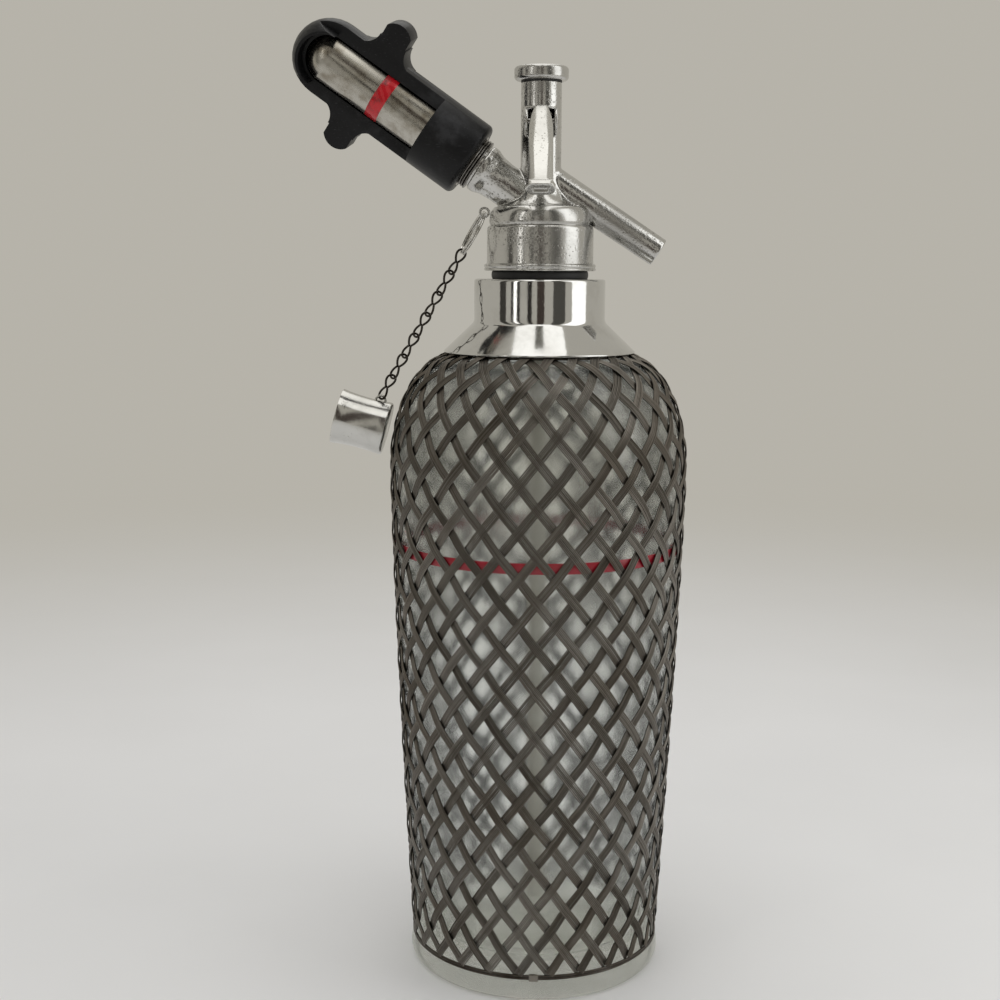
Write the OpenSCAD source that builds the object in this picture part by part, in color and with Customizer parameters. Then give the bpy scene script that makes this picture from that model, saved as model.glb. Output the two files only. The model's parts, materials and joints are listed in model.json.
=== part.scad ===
// Soda siphon with a woven wire sleeve: a glass bottle, a screw-on valve head and a gas bulb holder.
// Millimetres. The origin is the centre of the base, +Z is up, the spout points along +X,
// the bulb holder along -X and the thumb lever along -Y.

/* [Bottle] */
// Largest radius of the glass, at the top of its side
glass_r = 53.6; // [52:0.1:55]
// How much narrower the glass is just above the foot bead
glass_taper = 8; // [7:0.1:9]
// Height where the side turns into the shoulder
shoulder_z = 190; // [170:1:200]
// How far the shoulder curve draws in
shoulder_draw = 23.4; // [22.6:0.1:24]
// Height of the shoulder curve
shoulder_rise = 40.5; // [39:0.1:42]
// Thickness of the glass side
glass_wall = 4.5; // [3:0.1:6]
// Thickness of the glass floor
glass_floor = 12; // [8:0.5:16]
// Radius of the neck below its lip
neck_r = 13; // [12.4:0.1:13.4]
// Radius of the lip round the mouth
lip_r = 14.5; // [14.2:0.1:14.8]
// Height of the lip
lip_h = 8; // [6:0.5:9]
// Radius of the mouth
mouth_r = 10.5; // [9:0.1:10.7]
// Height of the rim above the shoulder curve
neck_rise = 43.5; // [43:0.5:50]
// How far the foot bead stands out past the glass above it
foot_bead_out = 2.1; // [1.6:0.1:2.8]
// Height of the foot bead
foot_bead_h = 8; // [6:0.5:10]
// How far the flat base stays inside the foot bead
base_in = 3.2; // [2.7:0.1:5.7]

/* [Fill line] */
// Height of the fill line's middle
fill_line_z = 160.7; // [120:1:175]
// Width of the fill line
fill_line_w = 3.9; // [2:0.1:6]

/* [Wire sleeve] */
// Ribbons in each hand of the weave
ribbons = 26; // [20:1:26]
// Rows of crossings from the foot to the shoulder
weave_rows = 28; // [22:1:28]
// Width of a ribbon
ribbon_w = 2.6; // [1.6:0.1:2.7]
// Thickness of a ribbon
ribbon_t = 0.4; // [0.3:0.05:0.45]
// How far a ribbon weaves out and in from its middle line
weave_lift = 0.55; // [0.5:0.05:0.6]
// Gap between the glass and the sleeve
sleeve_gap = 0.3; // [0.2:0.05:0.4]
// Radius of the wire in the foot band
band_wire_r = 0.45; // [0.35:0.05:0.5]

/* [Collar] */
// Radius of the collar's upright wall
collar_r = 24; // [22:0.1:25]
// How far the collar's skirt reaches out past the start of the shoulder's flat top
skirt_out = 4.9; // [4.6:0.1:5.4]
// Height of the sloping skirt
skirt_h = 12.5; // [12:0.5:15]
// Thickness of the collar's sheet
collar_t = 0.8; // [0.5:0.05:1]
// Thickness of the sealing ring under the head
gasket_h = 2.9; // [2:0.1:3.5]
// Outer radius of the threaded neck ring
neck_ring_r = 16.6; // [16.2:0.1:16.9]

/* [Head] */
// Depth of the head's socket over the neck
head_depth = 14.8; // [14:0.1:16]
// Radius of the head's upright wall
head_r = 19.4; // [18.8:0.1:19.8]
// Radius of the head's bottom flange
head_flange_r = 20.4; // [20:0.1:21]
// Thickness of the rubber seal on the rim
rim_seal_h = 2; // [1.5:0.1:2.5]
// Radius of the valve tower
tower_r = 7.35; // [7:0.05:7.6]
// Height of the tower above the head's crown
tower_h = 43.9; // [42:0.1:48]
// Radius of the tower cap
tower_cap_r = 9.8; // [9:0.1:11]
// Height of the tower cap
tower_cap_h = 5; // [4:0.1:7]
// Radius of the tower's bore
tower_bore_r = 5; // [4.9:0.05:5.1]
// Height of the valve seat above the head's crown
seat_rise = 6.9; // [6.5:0.1:8]

/* [Spout] */
// Length of the spout from the tower's axis
spout_l = 51.4; // [40:0.1:60]
// Angle of the spout below the horizontal
spout_drop = 33.1; // [31:0.1:36]
// Height of the spout's root above the crown
spout_rise = 11.9; // [11:0.1:13]
// Radius of the spout at its root
spout_root_r = 5.6; // [5.4:0.1:6.4]
// Radius of the spout at its tip
spout_tip_r = 5.25; // [4.6:0.05:5.4]
// Radius of the spout's bore
spout_bore_r = 2.2; // [1.5:0.1:2.5]

/* [Lever and valve] */
// Distance of the lever pin in front of the tower's axis
pin_out = 8; // [7.8:0.1:8.6]
// Distance of the lever pin below the top of the tower
pin_drop = 14.2; // [13.8:0.1:15]
// Radius of the lever pin
pin_r = 1.2; // [0.8:0.1:1.6]
// Width of the lever
lever_w = 8.6; // [8:0.1:8.8]
// Radius of the lever's knuckle
knuckle_r = 5.8; // [5.4:0.1:6]
// Length of the lever from its pin to its tip
lever_l = 37.6; // [30:0.1:42]
// Slope of the lever below the horizontal
lever_slope = 42; // [38:0.5:46]
// Thickness of the lever near its tip
lever_t = 3.8; // [3:0.1:4.4]
// Width of the lip at the lever's tip
lip_w = 10.2; // [9.6:0.1:12]
// Radius of the valve spindle
spindle_r = 1.8; // [1.4:0.05:1.9]
// Radius of the collar on the spindle
spindle_collar_r = 3.4; // [3.2:0.05:3.6]

/* [Gas inlet] */
// Slope of the inlet above the horizontal
inlet_slope = 35.3; // [33:0.1:38]
// Radius of the inlet neck at its waist
inlet_waist_r = 7.5; // [7.2:0.1:7.8]
// Radius of the inlet neck at its end
inlet_end_r = 8.95; // [8.7:0.05:9.2]
// Distance of the inlet neck's end from the axis
inlet_end_s = 26.8; // [26:0.1:28]
// Radius of the threaded nipple
nipple_r = 8.2; // [8:0.05:8.4]
// Length of the thread that stands out of the neck
nipple_l = 17.2; // [16:0.1:18]

/* [Bulb and holder] */
// Radius of the gas bulb
bulb_r = 9; // [8.8:0.05:9.1]
// Length of the gas bulb
bulb_l = 65; // [60:0.5:68]
// Radius of the bulb's neck
bulb_neck_r = 4.4; // [4:0.1:4.6]
// Clearance round the bulb
bulb_gap = 0.5; // [0.4:0.05:0.7]
// Outer radius of the holder
holder_r = 14; // [13.8:0.1:15]
// Length of the holder's closed collar
holder_collar_l = 19.6; // [18:0.1:21]
// Distance of the window's plane in front of the holder's axis
window_front = 3.5; // [2.5:0.1:5]
// Distance of the flat on the holder's end in front of its axis
end_flat = 9; // [8:0.1:11]
// Distance of a wing's round end from the holder's axis
wing_out = 19.7; // [18:0.1:22]
// Radius of a wing's round end
wing_r = 6.1; // [5:0.1:7]
// Thickness of a wing
wing_t = 9; // [7:0.1:11]
// Distance of the wings from the mouth of the holder
wing_along = 45.6; // [42:0.1:50]
// Turn of the tightened holder about its own axis
holder_turn = 20; // [0:1:40]

/* [Chain and inlet cap] */
// Outer radius of the split ring
ring_r = 9; // [8:0.1:10]
// Width of the split ring's wire, measured along its radius
ring_wire = 1.2; // [1:0.05:1.3]
// Links in the chain
links = 7; // [6:1:8]
// Radius of the round end of a link
link_end_r = 1.75; // [1.6:0.05:1.9]
// Radius of the wire of a link
link_wire_r = 0.42; // [0.35:0.01:0.45]
// Distance of the inlet cap's middle from the widest part of the glass
cap_out = 12; // [11.7:0.1:14.4]
// Height of the inlet cap's middle
cap_z = 205.1; // [203:0.1:208]
// Radius of the inlet cap
cap_r = 9.9; // [9.7:0.1:10.2]
// Length of the inlet cap
cap_l = 19.4; // [17:0.1:20]
// Thickness of the inlet cap's sheet
cap_t = 0.8; // [0.5:0.05:1]
// Tilt of the inlet cap from the horizontal
cap_tilt = 14.7; // [13:0.1:16]

/* [Hidden] */
$fn = 64;

// Clearances
rest_gap = 0.3;       // between pieces that only lie against each other
shaft_gap = 0.05;     // round a pin or a spindle in its hole
thread_gap = 0.08;    // round an engaged thread
face_gap = 0.05;      // between a coating and what it coats
overcut = 1;          // how far a cut runs past the face that it opens

// Bottle radii and heights
glass_foot_r = glass_r - glass_taper;
foot_bead_r = glass_foot_r + foot_bead_out;
base_r = foot_bead_r - base_in;
shoulder_top = shoulder_z + shoulder_rise;
rim_z = shoulder_top + neck_rise;
ceiling_z = rim_z + rim_seal_h;
head_z = ceiling_z - head_depth;
collar_top = head_z - gasket_h;
shoulder_mid_r = glass_r - shoulder_draw;
belly_power = 1.3;    // the side swells fast above the foot and slowly below the shoulder
side_steps = 12;
shoulder_steps = 14;
shoulder_end = 82;    // angle where the shoulder curve runs into the slope under the collar
floor_round = 8;      // rounding inside the floor's corner
neck_root_r = neck_r + 4.5;
neck_fillet = 4.5;

// Points on an ellipse's arc
function arc(cx, cy, rx, ry, a0, a1, n) =
    [for (i = [0:n]) let (a = a0 + (a1 - a0) * i / n) [cx + rx * cos(a), cy + ry * sin(a)]];
function rev(list) = [for (i = [len(list) - 1:-1:0]) list[i]];

// Radius of the glass at a height on its side
function side_r(z) = glass_foot_r + (glass_r - glass_foot_r)
    * (1 - pow(1 - (z - foot_bead_h) / (shoulder_z - foot_bead_h), belly_power));
side_pts = [for (i = [0:side_steps])
    let (z = foot_bead_h + (shoulder_z - foot_bead_h) * i / side_steps) [side_r(z), z]];

// A list without its first point
function tail(list) = [for (i = [1:len(list) - 1]) list[i]];

module ring(r_out, r_in, h) {
    rotate_extrude() translate([r_in, 0]) square([r_out - r_in, h]);
}

module wire_ring(r, wire_r, turn = 360) {
    rotate_extrude(angle = turn) translate([r, 0]) circle(r = wire_r);
}

// ---------------------------------------------------------------- bottle

slope_start = [shoulder_mid_r + shoulder_draw * cos(shoulder_end),
               shoulder_z + shoulder_rise * sin(shoulder_end)];
slope_rate = shoulder_rise * cos(shoulder_end) / (shoulder_draw * sin(shoulder_end));
neck_root_z = slope_start[1] + (slope_start[0] - neck_root_r) * slope_rate;

module glass_bottle() {
    foot = arc(base_r, foot_bead_h / 2, foot_bead_r - base_r, foot_bead_h / 2, -90, 66, 9);
    shoulder = arc(shoulder_mid_r, shoulder_z, shoulder_draw, shoulder_rise, 0, shoulder_end, shoulder_steps);
    root = arc(neck_root_r, neck_root_z + neck_fillet, neck_root_r - neck_r, neck_fillet, 270, 180, 5);
    lip_round = 1.2;
    lip = concat([[neck_r, rim_z - lip_h], [lip_r, rim_z - lip_h + 1]],
        arc(lip_r - lip_round, rim_z - lip_round, lip_round, lip_round, 0, 90, 4));
    inner_side = [for (p = tail(side_pts)) if (p[1] > glass_floor + floor_round) [p[0] - glass_wall, p[1]]];
    inner_shoulder = arc(shoulder_mid_r, shoulder_z, shoulder_draw - glass_wall,
        shoulder_rise - glass_wall, 0, 72, 9);
    corner_z = glass_floor + floor_round;
    corner_r = side_r(corner_z) - glass_wall - floor_round;
    corner = arc(corner_r, corner_z, floor_round, floor_round, -90, 0, 6);
    neck_in_z = neck_root_z + neck_fillet;
    color("lightcyan", 0.4)
        rotate_extrude() polygon(concat(
            [[0, 0]], foot, side_pts, tail(shoulder), root, lip,
            [[mouth_r, rim_z], [mouth_r, neck_in_z], [mouth_r + 2.5, neck_in_z - 3]],
            rev(concat(corner, inner_side, tail(inner_shoulder))),
            [[0, glass_floor]]));
}

module fill_line() {
    z0 = fill_line_z - fill_line_w / 2;
    z1 = fill_line_z + fill_line_w / 2;
    line_t = 0.2;
    color("crimson")
        rotate_extrude() polygon([
            [side_r(z0) + face_gap, z0], [side_r(z0) + line_t, z0],
            [side_r(z1) + line_t, z1], [side_r(z1) + face_gap, z1]]);
}

// ---------------------------------------------------------------- wire sleeve

// The sleeve follows the glass, so its rows are spaced along the outline of the side and shoulder.
sleeve_end = 82;
path_past_end = 5;
sleeve_path = concat(side_pts,
    tail(arc(shoulder_mid_r, shoulder_z, shoulder_draw, shoulder_rise, 0, sleeve_end, shoulder_steps)),
    tail(arc(shoulder_mid_r, shoulder_z, shoulder_draw, shoulder_rise,
        sleeve_end, sleeve_end + path_past_end, 2)));
path_s = [for (i = 0, s = 0; i < len(sleeve_path);
    s = s + (i + 1 < len(sleeve_path) ? norm(sleeve_path[i + 1] - sleeve_path[i]) : 0), i = i + 1) s];
s_to_r = [for (i = [0:len(sleeve_path) - 1]) [path_s[i], sleeve_path[i][0]]];
s_to_z = [for (i = [0:len(sleeve_path) - 1]) [path_s[i], sleeve_path[i][1]]];
function on_path(s) = [lookup(s, s_to_r), lookup(s, s_to_z)];
function path_normal(s) = let (d = on_path(s + 1) - on_path(s - 1)) [d[1], -d[0]] / norm(d);

sleeve_mid = sleeve_gap + ribbon_t / 2 + weave_lift;
sleeve_t = ribbon_t + 2 * weave_lift;
band_h = 4 * band_wire_r + face_gap;
band_z = foot_bead_h + rest_gap;
weave_s0 = band_z + band_h + rest_gap - foot_bead_h;
weave_s1 = path_s[side_steps + shoulder_steps];

// Every row is a crossing, and the tight curve of the shoulder has a ring half way as well
fine_rows = 6;
weave_q = concat([for (k = [0:weave_rows - fine_rows]) k],
    [for (k = [1:2 * fine_rows]) weave_rows - fine_rows + k / 2]);
function weave_s(q) = weave_s0 + (weave_s1 - weave_s0) * q / weave_rows;

// Point over the glass at row q of a ribbon, a given height off the surface
function weave_point(q, hand, start, off) = let (
    s = weave_s(q), p = on_path(s) + off * path_normal(s), a = start + hand * q * 180 / ribbons)
    [p[0] * cos(a), p[0] * sin(a), p[1]];
function weave_normal(q, hand, start) = let (
    n = path_normal(weave_s(q)), a = start + hand * q * 180 / ribbons)
    [n[0] * cos(a), n[0] * sin(a), n[1]];
function unit(v) = v / norm(v);
function ribbon_ring(q, hand, start) = let (
    n = weave_normal(q, hand, start),
    t = unit(weave_point(q + 0.1, hand, start, sleeve_mid) - weave_point(q - 0.1, hand, start, sleeve_mid)),
    b = cross(t, n) * ribbon_w / 2,
    c = weave_point(q, hand, start, sleeve_mid + hand * weave_lift * cos(180 * q)),
    h = n * ribbon_t / 2)
    [c - b - h, c + b - h, c + b + h, c - b + h];

// Triangles of a tube of n rings with k corners each, its points starting at index `at`.
// The diagonals turn over half way round, so that opposite faces twist alike.
function tube_faces(n, k, at) = concat(
    [for (i = [0:n - 2]) for (j = [0:k - 1]) let (
        a = at + i * k + j, b = at + i * k + (j + 1) % k, c = b + k, d = a + k)
        each (j < k / 2 ? [[a, d, c], [a, c, b]] : [[a, d, b], [b, d, c]])],
    [for (j = [1:k - 2]) [at, at + j, at + j + 1]],
    [for (j = [1:k - 2]) [at + (n - 1) * k, at + (n - 1) * k + j + 1, at + (n - 1) * k + j]]);

module ribbon_set(hand) {
    rings = len(weave_q);
    points = [for (i = [0:ribbons - 1]) for (q = weave_q) each ribbon_ring(q, hand, i * 360 / ribbons)];
    faces = [for (i = [0:ribbons - 1]) each tube_faces(rings, 4, i * rings * 4)];
    polyhedron(points = points, faces = faces, convexity = 10);
}

module mesh_strips_right() {
    color("dimgray") ribbon_set(1);
}

module mesh_strips_left() {
    color("gray") ribbon_set(-1);
}

band_r = side_r(band_z + band_h / 2) + sleeve_gap + sleeve_t / 2;

module mesh_foot_band() {
    color("dimgray") {
        translate([0, 0, band_z + band_wire_r]) wire_ring(band_r, band_wire_r);
        translate([0, 0, band_z + band_h - band_wire_r]) wire_ring(band_r, band_wire_r);
    }
}

// The clip is a strip of sheet bent over both wires of the foot band
module mesh_band_clip() {
    clip_turn = 4;
    clip_at = (floor(ribbons * 3 / 4) + 0.5) * 360 / ribbons - clip_turn / 2;    // between two ribbons, at the front
    clip_t = 0.35;
    gap = 0.1;
    r_out = band_r + band_wire_r + gap;
    r_in = band_r - band_wire_r - gap;
    z0 = band_z - gap;
    z1 = band_z + band_h + gap;
    hook = 0.15;
    color("silver")
        rotate([0, 0, clip_at]) rotate_extrude(angle = clip_turn) polygon([
            [r_in, z0 - hook], [r_out + clip_t, z0 - hook], [r_out + clip_t, z1 + hook], [r_in, z1 + hook],
            [r_in, z1], [r_out, z1], [r_out, z0], [r_in, z0]]);
}

top_wire_r = 0.5;
module mesh_top_ring() {
    s = weave_s1 + top_wire_r + rest_gap / 2;
    p = on_path(s) + (sleeve_gap + top_wire_r) * path_normal(s);
    color("dimgray") translate([0, 0, p[1]]) wire_ring(p[0], top_wire_r);
}

// ---------------------------------------------------------------- collar and neck

skirt_z = shoulder_top + 1;
skirt_r = shoulder_mid_r + skirt_out;
collar_hole_r = neck_ring_r + rest_gap;
module shoulder_collar() {
    fillet_r = 3;
    corner = 1;
    lip_edge = 0.5;
    slope_top = skirt_z + skirt_h;
    // concave turn from the skirt's slope into the upright wall
    function turn(out) = arc(collar_r + fillet_r, slope_top, fillet_r - out, fillet_r - out, 228, 180, 5);
    outer = concat([[skirt_r, skirt_z], [skirt_r, skirt_z + lip_edge]], turn(0),
        arc(collar_r - corner, collar_top - corner, corner, corner, 0, 90, 4),
        [[collar_hole_r, collar_top]]);
    inner = concat([[collar_hole_r, collar_top - collar_t],
        [collar_r - collar_t, collar_top - collar_t]],
        rev(turn(-collar_t)), [[skirt_r - collar_t, skirt_z]]);
    color("silver") rotate_extrude() polygon(concat(outer, inner));
}

// Threaded ring that the head screws onto, in two halves so that it goes round below the lip
module neck_ring() {
    split = 0.6;
    foot_z = neck_root_z + neck_fillet + 1;
    step_z = rim_z - lip_h - rest_gap;
    top_z = rim_z - 2;
    color("darkkhaki") difference() {
        rotate_extrude() polygon([
            [neck_r + rest_gap, foot_z], [neck_ring_r - 1, foot_z], [neck_ring_r, foot_z + 1],
            [neck_ring_r, top_z - 1], [neck_ring_r - 0.8, top_z],
            [lip_r + rest_gap, top_z], [lip_r + rest_gap, step_z], [neck_r + rest_gap, step_z]]);
        translate([-split / 2, -neck_ring_r - overcut, foot_z - overcut])
            cube([split, 2 * neck_ring_r + 2 * overcut, top_z - foot_z + 2 * overcut]);
    }
}

module neck_gasket() {
    wall = 1;
    color("black") translate([0, 0, collar_top])
        ring(neck_ring_r + 0.1 + wall, neck_ring_r + 0.1, gasket_h);
}

head_bore_r = neck_ring_r + 0.4;
module rim_seal() {
    color("black") translate([0, 0, rim_z]) ring(head_bore_r - rest_gap, mouth_r + rest_gap, rim_seal_h);
}

// ---------------------------------------------------------------- head

crown_z = ceiling_z + 8.1;          // top of the rounded crown, where the tower's flare starts
tower_top = crown_z + tower_h;
seat_z = crown_z + seat_rise;
tube_r = 3.5;
tube_bore_r = 2.3;
tube_top = ceiling_z + 4.7;
liquid_bore_r = 2.5;
gas_bore_r = 1.5;
gas_down_x = 8;
gas_down_r = 1.2;
inlet_z = head_z + 21.5;
gas_meet_s = gas_down_x / cos(inlet_slope);
valve_room_s = gas_meet_s + 6.2;    // where the check valve's room starts
nipple_plug_r = 6.4;
nipple_s = valve_room_s;
pin_z = tower_top - pin_drop;

// Frame of the gas inlet: its own +Z runs out along the inlet, from the siphon's axis
module inlet_frame() {
    translate([0, 0, inlet_z]) rotate([0, inlet_slope - 90, 0]) children();
}

// Frame of the spout: its own +Z runs down along the spout
spout_z = crown_z + spout_rise;
module spout_frame() {
    translate([0, 0, spout_z]) rotate([0, 90 + spout_drop, 0]) children();
}

// Frame of the lever pin: the pin lies along X
module pin_frame() {
    translate([0, -pin_out, pin_z]) children();
}

cheek_r = 4.75;
cheek_t = 1.2;
slot_half = lever_w / 2 + rest_gap;

// The head's wall ends in a rounded step, and a bulge rises from there to the ridge round the crown
wall_top = head_z + 16.3;
bulge_z = wall_top + 1.1;
bulge_r = head_r - 0.8;
bulge_rise = crown_z - bulge_z;
ridge_r = bulge_r - 2.6;
function bulge_at(z) = ridge_r + (bulge_r - ridge_r) * sqrt(1 - pow((z - bulge_z) / bulge_rise, 2));

module head_shell() {
    edge = 0.7;
    flare_h = 13;
    rotate_extrude() polygon(concat(
        [[0, head_z], [head_flange_r - edge, head_z]],
        arc(head_flange_r - edge, head_z + 2 * edge, edge, 2 * edge, -70, 80, 5),
        [[head_r, head_z + 3.3], [head_r, wall_top - 1.5]],
        arc(head_r - 1.5, wall_top - 1.5, 1.5, 1.5, 20, 80, 3),
        arc(ridge_r, bulge_z, bulge_r - ridge_r, bulge_rise, 5, 84, 7),
        arc(ridge_r, crown_z + flare_h, ridge_r - tower_r, flare_h, 267, 180, 8),
        [[tower_r, tower_top], [0, tower_top]]));
}

module head_cheeks() {
    pin_frame() rotate([0, 90, 0])
        cylinder(r = cheek_r, h = 2 * (slot_half + cheek_t), center = true);
    pin_frame() translate([-slot_half - cheek_t, 0, -cheek_r])
        cube([2 * (slot_half + cheek_t), pin_out - tower_bore_r + 0.6, 2 * cheek_r]);
}

module head_body() {
    color("silver") difference() {
        union() {
            head_shell();
            head_cheeks();
            spout_frame() cylinder(r1 = spout_root_r, r2 = spout_tip_r, h = spout_l);
            inlet_frame() rotate_extrude() polygon([
                [0, 0], [inlet_waist_r, 0], [inlet_waist_r, inlet_end_s - 9],
                [inlet_waist_r + 0.4, inlet_end_s - 5], [inlet_end_r, inlet_end_s - 2.3],
                [inlet_end_r, inlet_end_s - 0.3], [inlet_end_r - 0.3, inlet_end_s], [0, inlet_end_s]]);
        }
        // socket over the neck ring
        translate([0, 0, head_z - overcut]) cylinder(r = head_bore_r, h = head_depth + overcut);
        // socket of the dip tube, and the liquid's way up to the valve seat
        translate([0, 0, ceiling_z - overcut])
            cylinder(r = tube_r + shaft_gap, h = tube_top - ceiling_z + overcut + rest_gap);
        translate([0, 0, ceiling_z]) cylinder(r = liquid_bore_r, h = seat_z - ceiling_z + overcut);
        // valve room and the bore above it
        translate([0, 0, seat_z]) cylinder(r = tower_bore_r, h = tower_top - seat_z + overcut);
        // bore of the spout
        spout_frame() cylinder(r = spout_bore_r, h = spout_l + overcut);
        // gas way in, and down beside the dip tube
        inlet_frame() translate([0, 0, gas_meet_s]) cylinder(r = gas_bore_r, h = inlet_end_s);
        inlet_frame() translate([0, 0, nipple_s])
            cylinder(r = nipple_plug_r + shaft_gap, h = inlet_end_s - nipple_s + overcut);
        translate([-gas_down_x, 0, ceiling_z - overcut])
            cylinder(r = gas_down_r, h = inlet_z + gas_meet_s * sin(inlet_slope) - ceiling_z + overcut);
        // slot for the lever's knuckle and finger
        pin_frame() rotate([0, 90, 0]) cylinder(r = knuckle_r + rest_gap, h = 2 * slot_half, center = true);
        pin_frame() translate([-slot_half, -knuckle_r - overcut, -knuckle_r + 1.2])
            cube([2 * slot_half, knuckle_r + overcut, 2 * knuckle_r - 1.2]);
        pin_frame() translate([-slot_half, 0, -2.6]) cube([2 * slot_half, pin_out - 2, 7]);
        // hole for the lever pin
        pin_frame() rotate([0, 90, 0])
            cylinder(r = pin_r, h = 2 * (slot_half + cheek_t + overcut), center = true);
    }
}

module tube_bush() {
    bush_r = 6.6;
    bush_h = 6.5;
    color("black") translate([0, 0, ceiling_z - bush_h]) ring(bush_r, tube_r + shaft_gap, bush_h);
}

module dip_tube() {
    tube_foot = glass_floor + 10;
    color("ivory") translate([0, 0, tube_foot]) ring(tube_r, tube_bore_r, tube_top - tube_foot);
}

gland_z = seat_z + 11;
module spindle_gland() {
    gland_h = 4;
    color("black") translate([0, 0, gland_z]) ring(tower_bore_r - shaft_gap, spindle_r + shaft_gap, gland_h);
}

module tower_cap_washer() {
    color("black") translate([0, 0, tower_top]) ring(tower_r, tower_bore_r + 0.1, cap_washer_h);
}

cap_washer_h = 0.5;
cap_plug_h = 3.5;
module tower_cap() {
    corner = 1.5;
    z0 = tower_top + cap_washer_h;
    z1 = z0 + tower_cap_h;
    color("silver") difference() {
        rotate_extrude() polygon(concat(
            [[0, z0 - cap_plug_h], [tower_bore_r - shaft_gap, z0 - cap_plug_h],
             [tower_bore_r - shaft_gap, z0], [tower_cap_r - corner, z0]],
            arc(tower_cap_r - corner, z0 + corner, corner, corner, -60, 0, 4),
            arc(tower_cap_r - corner, z1 - corner, corner, corner, 0, 80, 4),
            [[0, z1 + 0.2]]));
        translate([0, 0, z0 - cap_plug_h - overcut]) cylinder(r = spindle_r + 0.3, h = cap_plug_h + overcut);
    }
}

// ---------------------------------------------------------------- valve

valve_washer_h = 2;
spindle_collar_h = 1.7;
finger_t = 3.3;
finger_low = 1.9;        // how far the lever's finger reaches below the pin
collar_z = pin_z - finger_low + finger_t + rest_gap;
module valve_spindle() {
    foot_h = 1.2;
    color("goldenrod") union() {
        translate([0, 0, seat_z + valve_washer_h]) cylinder(r = 3, h = foot_h);
        translate([0, 0, seat_z + valve_washer_h]) cylinder(r = spindle_r, h = spindle_top - seat_z - valve_washer_h);
        translate([0, 0, collar_z]) cylinder(r = spindle_collar_r, h = spindle_collar_h);
    }
}

spring_bottom = collar_z + spindle_collar_h + 0.1;
spring_top = tower_top + cap_washer_h - cap_plug_h - 0.1;
spindle_top = spring_bottom + (spring_top - spring_bottom) * 0.55;

module valve_washer() {
    color("black") translate([0, 0, seat_z]) cylinder(r = 3.8, h = valve_washer_h);
}

// A wound spring: one wire swept round five turns
module valve_spring() {
    coil_r = 3.1;
    wire_r = 0.4;
    turns = 5;
    per_turn = 10;
    sides = 6;
    rings = turns * per_turn + 1;
    rise = spring_top - spring_bottom - 2 * wire_r;
    points = [for (i = [0:rings - 1]) let (a = i * 360 / per_turn, z = spring_bottom + wire_r + rise * i / (rings - 1))
        for (j = [0:sides - 1]) let (b = j * 360 / sides, r = coil_r + wire_r * cos(b))
            [r * cos(a), r * sin(a), z + wire_r * sin(b)]];
    color("gray") polyhedron(points = points, faces = tube_faces(rings, sides, 0), convexity = 10);
}

// ---------------------------------------------------------------- lever

// Side view of the lever, in its own plane: x runs out to the front, y up, the pin at the origin
module lever_side() {
    root_t = 3.4;
    tip = [lever_l * cos(lever_slope), -lever_l * sin(lever_slope)];
    across = [sin(lever_slope), cos(lever_slope)];
    mid = tip * 0.45;
    union() {
        intersection() {
            circle(r = knuckle_r);
            translate([-2.6, -knuckle_r]) square([2.6 + knuckle_r, 2 * knuckle_r]);
        }
        polygon([[0, 0] + across * (knuckle_r - 0.5), mid + across * root_t, tip + across * lever_t / 2,
            tip - across * lever_t / 2, mid - across * (lever_t - root_t / 2), [0, 0] - across * root_t]);
    }
}

module lever() {
    finger_half = 3.6;
    fork_half = spindle_r + 0.4;
    finger_end = pin_out + 0.5;
    top_round = lever_w / 2;
    outline_top = 6.6;
    lip_t = 5;
    lip_l = 2.2;
    tip_z = -lever_l * sin(lever_slope);
    color("silver") pin_frame() difference() {
        union() {
            intersection() {
                rotate([90, 0, -90]) translate([0, 0, -lever_w / 2]) linear_extrude(height = lever_w) lever_side();
                // round top, as seen from the front
                rotate([90, 0, 0]) translate([0, 0, -2 * knuckle_r]) linear_extrude(height = 2 * lever_l) union() {
                    translate([0, outline_top - top_round]) circle(r = top_round);
                    translate([-top_round, tip_z - knuckle_r])
                        square([2 * top_round, outline_top - top_round - tip_z + knuckle_r]);
                }
            }
            // finger that lifts the spindle
            translate([-finger_half, 0, -finger_low]) cube([2 * finger_half, finger_end, finger_t]);
            // flared lip at the tip
            rotate([90 + lever_slope, 0, 0]) translate([0, 0, lever_l - lip_l])
                linear_extrude(height = lip_l) union() {
                    square([lip_w - lip_t, lip_t], center = true);
                    translate([(lip_w - lip_t) / 2, 0]) circle(d = lip_t);
                    translate([-(lip_w - lip_t) / 2, 0]) circle(d = lip_t);
                }
        }
        // fork round the spindle
        translate([-fork_half, pin_out - fork_half - 0.3, -finger_low - overcut])
            cube([2 * fork_half, finger_end, finger_t + 2 * overcut]);
        // pin hole
        rotate([0, 90, 0]) cylinder(r = pin_r + shaft_gap, h = lever_w + 2 * overcut, center = true);
        // hollow in the tip's face
        rotate([90 + lever_slope, 0, 0]) translate([0, 0, lever_l - 1])
            linear_extrude(height = 1 + overcut) square([lip_w - lip_t, 1.8], center = true);
    }
}

module lever_pin() {
    color("gray") pin_frame() rotate([0, 90, 0])
        cylinder(r = pin_r, h = 2 * (slot_half + cheek_t) + 0.4, center = true);
}

// ---------------------------------------------------------------- gas inlet

nipple_end_s = inlet_end_s + nipple_l;
bulb_neck_len = 7.7;
bulb_seat_s = nipple_end_s - bulb_neck_len;     // where the bulb's mouth rests on its washer
inlet_washer_h = 1.4;
recess_r = bulb_neck_r + 0.4;
recess_s = bulb_seat_s - inlet_washer_h;
valve_r = 3;

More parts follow.
